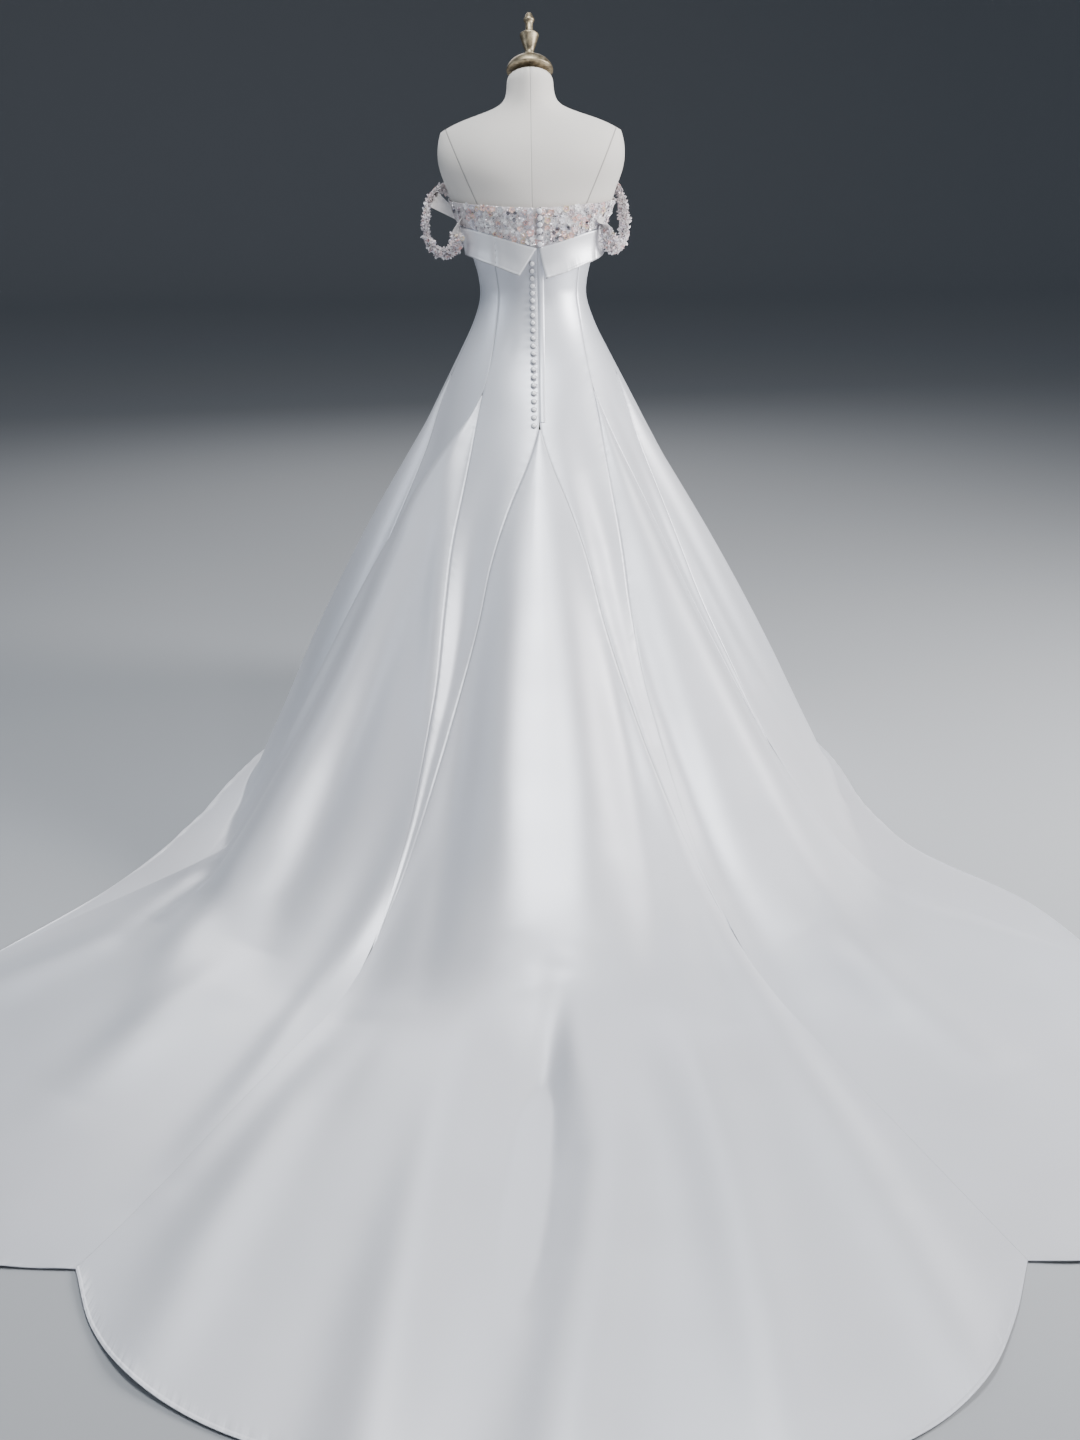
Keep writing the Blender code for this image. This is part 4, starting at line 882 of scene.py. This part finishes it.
def pointOn(points, normals, row, column):
    # a place on a cloth by fractions of its rows and columns
    rows, columns = points.shape[0] - 1, points.shape[1] - 1
    down, across = row * rows, column * columns
    i, j = min(int(down), rows - 1), min(int(across), columns - 1)
    a, b = down - i, across - j

    def mixed(field):
        top = field[i, j] * (1 - b) + field[i, j + 1] * b
        low = field[i + 1, j] * (1 - b) + field[i + 1, j + 1] * b
        return top * (1 - a) + low * a

    return mixed(points), mixed(normals)


def makeYoke(tulle, petals, beads, dots):
    blossom, crystal, pearl, sequin = (modelOnce(build) for build in (blossomShape, crystalShape,
        pearlShape, sequinShape))
    faces = {}
    for name, cut in yokePieces.items():
        grid = clothRows(name, 40.0)
        points = relaxed(finerGrid(grid, yokeCloth["spacing"]), 5)
        normals = facings(points)
        chance = random.Random(cut["seed"])
        base = clothMesh(f"tulle_{name}", points, tulle)
        thickened(base, yokeCloth["thickness"])
        flowers, stones, pearls, discs, taken = [], [], [], [], []
        left = name.endswith("left")

        def covered(column):
            # the plain corner of the left half carries no blossoms
            return column < cut["clear"] if left else column > 1 - cut["clear"]

        tries = 0
        while len(flowers) < cut["blossoms"] and tries < 9000:
            tries += 1
            row, column = chance.uniform(0.07, 0.95), chance.uniform(0.02, 0.98)
            if name != "yoke_front" and not covered(column):
                continue
            place, out = pointOn(points, normals, row, column)
            size = chance.uniform(*yokeCloth["blossomSize"])
            if any(np.linalg.norm(place - other) < (size + reach) * 0.74 for other, reach in taken):
                continue
            taken.append((place, size))
            blush = 0.34 + 0.34 * math.sin(column * 17.0 + cut["seed"]) * math.cos(row * 5.0 + column * 6.0)
            tint = chance.choice((0.55, 0.62, 0.68, 0.72, 0.80,
                0.88)) if chance.random() < blush else chance.choice((0.0, 0.0, 0.05, 0.12, 0.25, 0.34))
            turn = chance.uniform(0, 2 * math.pi)
            lean = out + np.array([chance.uniform(-0.25, 0.25) for _ in range(3)])
            flowers.append((place + out * 0.0008, lean, turn, size, tint))
            flowers.append((place + out * 0.0020, lean, turn + 0.63, size * 0.58, tint * 0.8))
            heart = chance.choice((0.0, 0.1, 0.5, 0.95))
            pearls.append((place + out * 0.0030, out, 0.0, chance.uniform(*yokeCloth["pearlSize"]), heart))
        for number in range(cut["crystals"]):
            row, column = chance.uniform(0.01, 0.99), chance.uniform(0.005, 0.995)
            if name != "yoke_front" and not covered(column) and chance.random() < 0.8:
                continue
            place, out = pointOn(points, normals, row, column)
            dark = 0.98 if math.sin(row * 9.0 + 2.0) * math.sin(column * 23.0 + cut["seed"]) > 0.78 else chance.choice((0.0, 0.0, 0.05, 0.1, 0.2, 0.4, 0.75))
            stones.append((place + out * chance.uniform(0.0008, 0.0038), out, chance.uniform(0, 6.28),
                chance.uniform(*yokeCloth["crystalSize"]), dark))
        for number in range(cut["clusters"]):   # dark stones set in little stars
            row, column = chance.uniform(0.12, 0.88), chance.uniform(0.06, 0.94)
            for step in range(7):
                spread = 0.0 if step == 0 else 0.0030
                shift = np.array([math.cos(step * 1.05), 0.0, math.sin(step * 1.05)]) * spread
                place, out = pointOn(points, normals, row, column)
                side = np.cross(out, [0.0, 0.0, 1.0])
                spot = place + side * shift[0] + np.array([0.0, 0.0, shift[2]]) + out * 0.0042
                stones.append((spot, out, step * 1.0, 0.0015, 0.97 if number % 3 else 0.62))
        for number in range(cut["pearls"]):
            row, column = chance.uniform(0.02, 0.98), chance.uniform(0.01, 0.99)
            if name != "yoke_front" and not covered(column):
                continue
            place, out = pointOn(points, normals, row, column)
            pearls.append((place + out * 0.0016, out, 0.0, chance.uniform(*yokeCloth["pearlSize"]),
                chance.choice((0.0, 0.15, 0.5))))
        for number in range(cut["sequins"]):
            row, column = chance.uniform(0.02, 0.98), chance.uniform(0.01, 0.99)
            if name != "yoke_front" and not covered(column):
                continue
            place, out = pointOn(points, normals, row, column)
            lean = out + np.array([chance.uniform(-0.3, 0.3) for _ in range(3)])
            discs.append((place + out * 0.0013, lean, 0.0, 0.0017, chance.choice((0.0, 0.2, 0.5, 0.85))))
        for edge in (0.006, 0.994):   # bead rows along the top and the satin's edge
            length = lengthsAlong(points, 1)[0, -1]
            for step in np.linspace(0.004, 0.996, int(length / 0.0030)):
                place, out = pointOn(points, normals, edge, step)
                stones.append((place + out * 0.0008, out, step * 40, 0.00105,
                    0.1 if int(step * 300) % 3 else 0.5))
        beadwork = [
            scattered(f"blossoms_{name}", blossom, flowers, petals),
            scattered(f"crystals_{name}", crystal, stones, beads, False),
            scattered(f"pearls_{name}", pearl, pearls, dots),
            scattered(f"sequins_{name}", sequin, discs, beads, False),
        ]
        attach(base, "root")
        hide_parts(name)
        declareCloth(base, points)
        faces[name] = points
    return faces


closingScallops = dict(count=6, radius=0.0062, stand=0.0034)


def makeScallops(faces, dots, beads):
    # pearly discs down the closing, each ringed with small beads
    points = faces["yoke_back_right"]
    normals = facings(points)
    column = 1.0 if abs(points[0, -1, 0]) < abs(points[0, 0, 0]) else 0.0
    shape = modelOnce(pearlShape)
    stone = modelOnce(crystalShape)
    discs, ring = [], []
    for number in range(closingScallops["count"]):
        row = (number + 0.5) / closingScallops["count"]
        inward = 0.045 if column == 0.0 else 0.955
        place, out = pointOn(points, normals, row, inward)
        place = place + out * closingScallops["stand"]
        discs.append((place, out, 0.0, (closingScallops["radius"], closingScallops["radius"], 0.0016), 0.03))
        frameOut = Vector(out)
        side = frameOut.orthogonal().normalized()
        other = frameOut.cross(side)
        for step in range(16):
            turn = 2 * math.pi * step / 16
            spot = place + np.array(side * math.cos(turn) + other * math.sin(turn)) * (closingScallops["radius"] + 0.0006)
            ring.append((spot, out, turn, 0.0008, 0.85))
    for piece in (scattered("closing_scallops", shape, discs, dots), scattered("closing_rings", stone, ring,
        beads, False)):
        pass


# straps

strapPieces = {
    "strap_left": dict(centre=(0.204, -0.008, 1.262), petals=1900, seed=11),
    "strap_right": dict(centre=(-0.180, -0.012, 1.262), petals=1750, seed=17),
}
strapCloth = dict(thickness=0.0011, spacing=0.0045, pleat=0.0009, petalLength=(0.0075, 0.0140))
petalTones = [
    (0.00, (0.88, 0.86, 0.87, 1.0)), (0.45, (0.86, 0.77, 0.77, 1.0)), (0.72, (0.86, 0.58, 0.56, 1.0)),
    (0.88, (0.74, 0.70, 0.79, 1.0)), (1.00, (0.70, 0.66, 0.64, 1.0)),
]


def makeStraps(tulle, petals, beads, dots):
    petal, crystal, pearl, blossom = (modelOnce(build) for build in (petalShape, crystalShape, pearlShape,
        blossomShape))
    for name, cut in strapPieces.items():
        side = name.split("_")[1]
        grid = clothRows(name, 180.0, 0.0022, cut["centre"])
        if grid.shape[0] < grid.shape[1]:
            grid = grid.transpose(1, 0, 2)
        points = finerGrid(grid, strapCloth["spacing"])
        normals = facings(points)
        away = points - np.array(cut["centre"])
        if (normals * away).sum() < 0:
            points = points[:, ::-1]
            normals = facings(points)
        across = np.linspace(0.0, 1.0, points.shape[1])[None, :, None]
        points = points + normals * np.sin(across * math.pi * 5.0) * strapCloth["pleat"]
        band = clothMesh(f"tulle_{name}", points, tulle)
        thickened(band, strapCloth["thickness"])
        chance = random.Random(cut["seed"])
        leaves, stones, dotsOn, flowers = [], [], [], []
        for number in range(cut["petals"]):
            row = 0.10 + 0.78 * (number + chance.random()) / cut["petals"]
            column = chance.uniform(0.0, 1.0)
            place, out = pointOn(points, normals, row, column)
            spread = out + np.array([chance.uniform(-0.9, 0.9) for _ in range(3)])
            size = chance.uniform(*strapCloth["petalLength"]) * (0.6 + 0.4 * math.sin(math.pi * (row - 0.1) / 0.78) ** 0.5)
            tint = chance.choice((0.0, 0.0, 0.0, 0.1, 0.1, 0.2, 0.3, 0.45, 0.55, 0.88))
            leaves.append((place + out * 0.0006, spread, chance.uniform(0, 6.28), (size, size, size * 0.8),
                tint))
            if number % 7 == 0:
                stones.append((place + out * chance.uniform(0.001, 0.005), out, 0.0, chance.uniform(0.0007,
                    0.0012), chance.choice((0.0, 0.2, 0.5))))
            if number % 15 == 0:
                dotsOn.append((place + out * chance.uniform(0.001, 0.004), out, 0.0, chance.uniform(0.0010,
                    0.0016), chance.choice((0.0, 0.3))))
            if number % 30 == 0:
                flowers.append((place + out * 0.003, spread, chance.uniform(0, 6.28), chance.uniform(0.0045,
                    0.0065), chance.choice((0.1, 0.55, 0.66, 0.74, 0.9))))
        beadwork = [
            scattered(f"petals_{side}", petal, leaves, petals[1]),
            scattered(f"strap_crystals_{side}", crystal, stones, beads, False),
            scattered(f"strap_pearls_{side}", pearl, dotsOn, dots),
            scattered(f"strap_blossoms_{side}", blossom, flowers, petals[0]),
        ]
        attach(band, "root")
        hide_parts(name)
        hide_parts(f"fringe_{side}")
        declareCloth(band, points)


def makeWeb(tulle):
    grid = clothRows("strap_web", 180.0, 0.0019, (0.0, 0.0, 1.29))
    points = finerGrid(grid, 0.005)
    web = clothMesh("tulle_strap_web", points, tulle)
    thickened(web, 0.0011)
    settled(web, "strap_tulle", "strap_web")
    declareCloth(web, points)


# closing: covered buttons, their loops and the placket's lap

buttonCover = dict(radius=0.0064, height=0.0060, loopRadius=0.00055, loopReach=0.0098)


def buttonShape():
    bpy.ops.mesh.primitive_uv_sphere_add(segments=18, ring_count=10, radius=1.0)
    bpy.ops.object.mode_set(mode="EDIT")
    bpy.ops.mesh.select_all(action="SELECT")
    bpy.ops.mesh.bisect(plane_co=(0, 0, -0.45), plane_no=(0, 0, 1), clear_inner=True, use_fill=True)
    bpy.ops.object.mode_set(mode="OBJECT")
    for vertex in bpy.context.active_object.data.vertices:
        reach, turn = math.hypot(vertex.co.x, vertex.co.y), math.atan2(vertex.co.y, vertex.co.x)
        gather = 0.03 * math.sin(9 * turn) * max(0.0, 0.4 - vertex.co.z) * reach
        vertex.co.x *= 1 + gather
        vertex.co.y *= 1 + gather
        vertex.co.z = (vertex.co.z + 0.45) * 0.50


def buttonSeats():
    seats = {}
    for number in range(1, 23):
        name = f"button_{number:02d}"
        corners = np.array([vertex.co for vertex in nodes[name].data.vertices])
        corners = np.unique(corners.round(6), axis=0)
        centre = corners.mean(0)
        out = np.linalg.eigh(np.cov((corners - centre).T))[1][:, 0]
        if out[1] < 0:
            out = -out
        depth = ((corners - centre) @ out).min()
        seats[name] = (centre + out * depth, out)
    return seats


def tubePoints(path, radius, sides=6):
    # rings round a path of points
    path = np.array(path)
    along = np.gradient(path, axis=0)
    along /= np.linalg.norm(along, axis=1, keepdims=True)
    rings = []
    side = np.cross(along[0], [0.3, 0.1, 1.0])
    for point, way in zip(path, along):
        side = side - way * (side @ way)
        side /= np.linalg.norm(side)
        other = np.cross(way, side)
        rings.append([point + (side * math.cos(t) + other * math.sin(t)) * radius for t in np.arange(sides) * 2 * math.pi / sides])
    points = np.array(rings).reshape(-1, 3)
    faces = []
    for row in range(len(path) - 1):
        for k in range(sides):
            a, b = row * sides + k, row * sides + (k + 1) % sides
            faces.append([a, b, b + sides, a + sides])
    last = (len(path) - 1) * sides
    faces += [list(range(sides))[::-1], [last + k for k in range(sides)]]
    return points, faces


def makeButtons(cover, shadedCord):
    thing = modelOnce(buttonShape)
    seats = buttonSeats()
    points, faces = [], []
    for name, (seat, out) in seats.items():
        look = buttonCover
        turn = int(name[-2:]) * 7 % 6
        settings = [(seat - out * 0.0002, out, float(turn), (look["radius"], look["radius"],
            look["height"] / 0.725), 0.0)]
        piece = scattered(f"covered_{name}", thing, settings, cover)
        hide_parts(name)
        right = np.cross(out, [0.0, 0.0, 1.0])
        right /= np.linalg.norm(right)
        if right[0] > 0:
            right = -right
        up = np.cross(right, out)
        path = []
        for step in range(11):
            swing = math.radians(-62 + 124 * step / 10)
            offset = -right * math.cos(swing) * (look["radius"] * 1.02) + up * math.sin(swing) * (look["radius"] * 1.02)
            path.append(seat + out * 0.0011 + offset)
        ends = [seat + right * look["loopReach"] + up * rise + out * 0.0006 for rise in (-0.0022, 0.0022)]
        tube, tubeFaces = tubePoints([ends[0], *path, ends[1]], look["loopRadius"])
        first = sum(len(p) for p in points)
        points.append(tube)
        faces += [[index + first for index in face] for face in tubeFaces]
    mesh = bpy.data.meshes.new("button_loops")
    mesh.from_pydata(np.concatenate(points).tolist(), [], faces)
    mesh.materials.append(shadedCord)
    mesh.shade_smooth()
    settled(linked("button_loops", mesh), "ivory_satin")


placketLap = dict(places=(0.0, 0.0012, 0.0045, 0.0085, 0.0112, 0.0124), stands=(0.0003, 0.0016, 0.0020,
    0.0019, 0.0014, 0.0002), low=0.855)


def makePlacket(faces, satin):
    # a folded band down the right side of the closing
    points = faces["panel_back_right"]
    normals = facings(points)
    across = lengthsAlong(points, 1)
    atEnd = abs(points[0, -1, 0]) < abs(points[0, 0, 0])
    keep = points[:, -1 if atEnd else 0, 2] > placketLap["low"]
    rows = []
    for row, line in enumerate(points):
        if not keep[row]:
            continue
        reach = across[row, -1] - across[row] if atEnd else across[row]
        order = np.argsort(reach)
        strip = []
        for place, stand in zip(placketLap["places"], placketLap["stands"]):
            spot = np.array([np.interp(place, reach[order], line[order, k]) for k in range(3)])
            out = np.array([np.interp(place, reach[order], normals[row][order, k]) for k in range(3)])
            strip.append(spot + out * stand)
        rows.append(strip[::-1])
    band = clothMesh("placket_lap", np.array(rows), satin)
    normal = facings(np.array(rows)).mean((0, 1))
    if normal[1] < 0:
        band.data.flip_normals()
    thickened(band, 0.0009)
    settled(band, "ivory_satin")
    declareCloth(band, np.array(rows))


# dress form

formLook = dict(
    light=(0.76, 0.715, 0.66, 1.0), deep=(0.71, 0.67, 0.62, 1.0), thread=(0.60, 0.57, 0.54,
        1.0), seam=(0.22, 0.20, 0.19, 1.0),
    armholeLean=0.436, armholeStart=-0.451, shoulderSide=0.150, shoulderTop=1.452, shoulderCrease=0.85,
)
formPieces = {
    "form_torso": dict(widen=1.0137, levels=2, creaseBelow=0.07, slot="form_linen"),
    "neck_cap": dict(widen=1.0115, levels=2, creaseBelow=0.07, slot="aged_brass"),
    "finial": dict(widen=1.0467, levels=2, creaseBelow=0.07, slot="aged_brass"),
}


def makeForm(linen, brass):
    for name, look in formPieces.items():
        shape = bmesh.new()
        shape.from_mesh(nodes[name].data)
        bmesh.ops.remove_doubles(shape, verts=shape.verts, dist=1e-5)
        bmesh.ops.dissolve_limit(shape, angle_limit=math.radians(0.5), verts=shape.verts, edges=shape.edges)
        bmesh.ops.join_triangles(shape, faces=shape.faces, angle_face_threshold=math.radians(40),
            angle_shape_threshold=math.pi)
        places = np.array([vertex.co for vertex in shape.verts])
        middle, lowest = (places.min(0) + places.max(0)) / 2, places[:, 2].min()
        for vertex in shape.verts:   # the smoothing draws a shape in, so it is widened first
            vertex.co.x = middle[0] + (vertex.co.x - middle[0]) * look["widen"]
            vertex.co.y = middle[1] + (vertex.co.y - middle[1]) * look["widen"]
        creases = shape.edges.layers.float.new("crease_edge")
        for edge in shape.edges:
            if edge.calc_face_angle(0.0) > math.radians(60) and min(v.co.z for v in edge.verts) < lowest + look["creaseBelow"]:
                edge[creases] = 1.0
            if all(abs(v.co.x) > formLook["shoulderSide"] and abs(v.co.z - formLook["shoulderTop"]) < 0.004 for v in edge.verts):
                edge[creases] = formLook["shoulderCrease"]
        mesh = bpy.data.meshes.new(f"smooth_{name}")
        shape.to_mesh(mesh)
        shape.free()
        mesh.shade_smooth()
        mesh.materials.append(linen if name == "form_torso" else brass)
        piece = linked(f"smooth_{name}", mesh)
        rounder = piece.modifiers.new("rounder", "SUBSURF")
        rounder.levels = rounder.render_levels = look["levels"]
        applyAll(piece)
        settled(piece, look["slot"], name)
    for name in ("stand_pole", "stand_base"):
        nodes[name].data.materials.clear()
        nodes[name].data.materials.append(brass)


def main():
    makeCamera()
    makeStudio()
    print("studio ready")
    satin = satinFinish("ivorySatin")
    plainSatin = satinFinish("foldedSatin", seamed=False)
    faces = makeSatin(satin)
    print("skirt and bodice ready")
    # the cuffs use a lighter, warmer copy of the satin: painted light where the cuffs catch more of the lamps, with a
    # painted shadow along their lower edges
    makeCuffs(satinFinish("litCuffSatin", (1.05, 1.03, 1.0), shadowedEdge=True))
    makePlacket(faces, plainSatin)
    print("cuffs and placket ready")
    petals = petalFinish("blossomPetals", blossomTones), petalFinish("strapPetals", petalTones)
    beads = beadFinish("cutBeads", beadTones, 0.08, 0.55)
    dots = beadFinish("pearlBeads", beadTones, 0.22, 0.0)
    yokeTulle = tulleFinish("yokeTulle", (0.74, 0.69, 0.69, 1.0), (0.62, 0.56, 0.57, 1.0))
    strapTulle = tulleFinish("strapTulle", (0.82, 0.78, 0.765, 1.0), (0.74, 0.69, 0.68, 1.0))
    yokes = makeYoke(yokeTulle, petals[0], beads, dots)
    makeScallops(yokes, dots, beads)
    print("yoke ready")
    makeStraps(strapTulle, petals, beads, dots)
    makeWeb(strapTulle)
    print("straps ready")
    # the loops are real satin cord, tinted darker than the dress as painted shade that outlines each button
    makeButtons(buttonFinish(), satinFinish("shadedLoopCord", (0.70, 0.70, 0.72), False))
    print("buttons ready")
    makeForm(linenFinish(), brassFinish())
    print("form ready")


main()
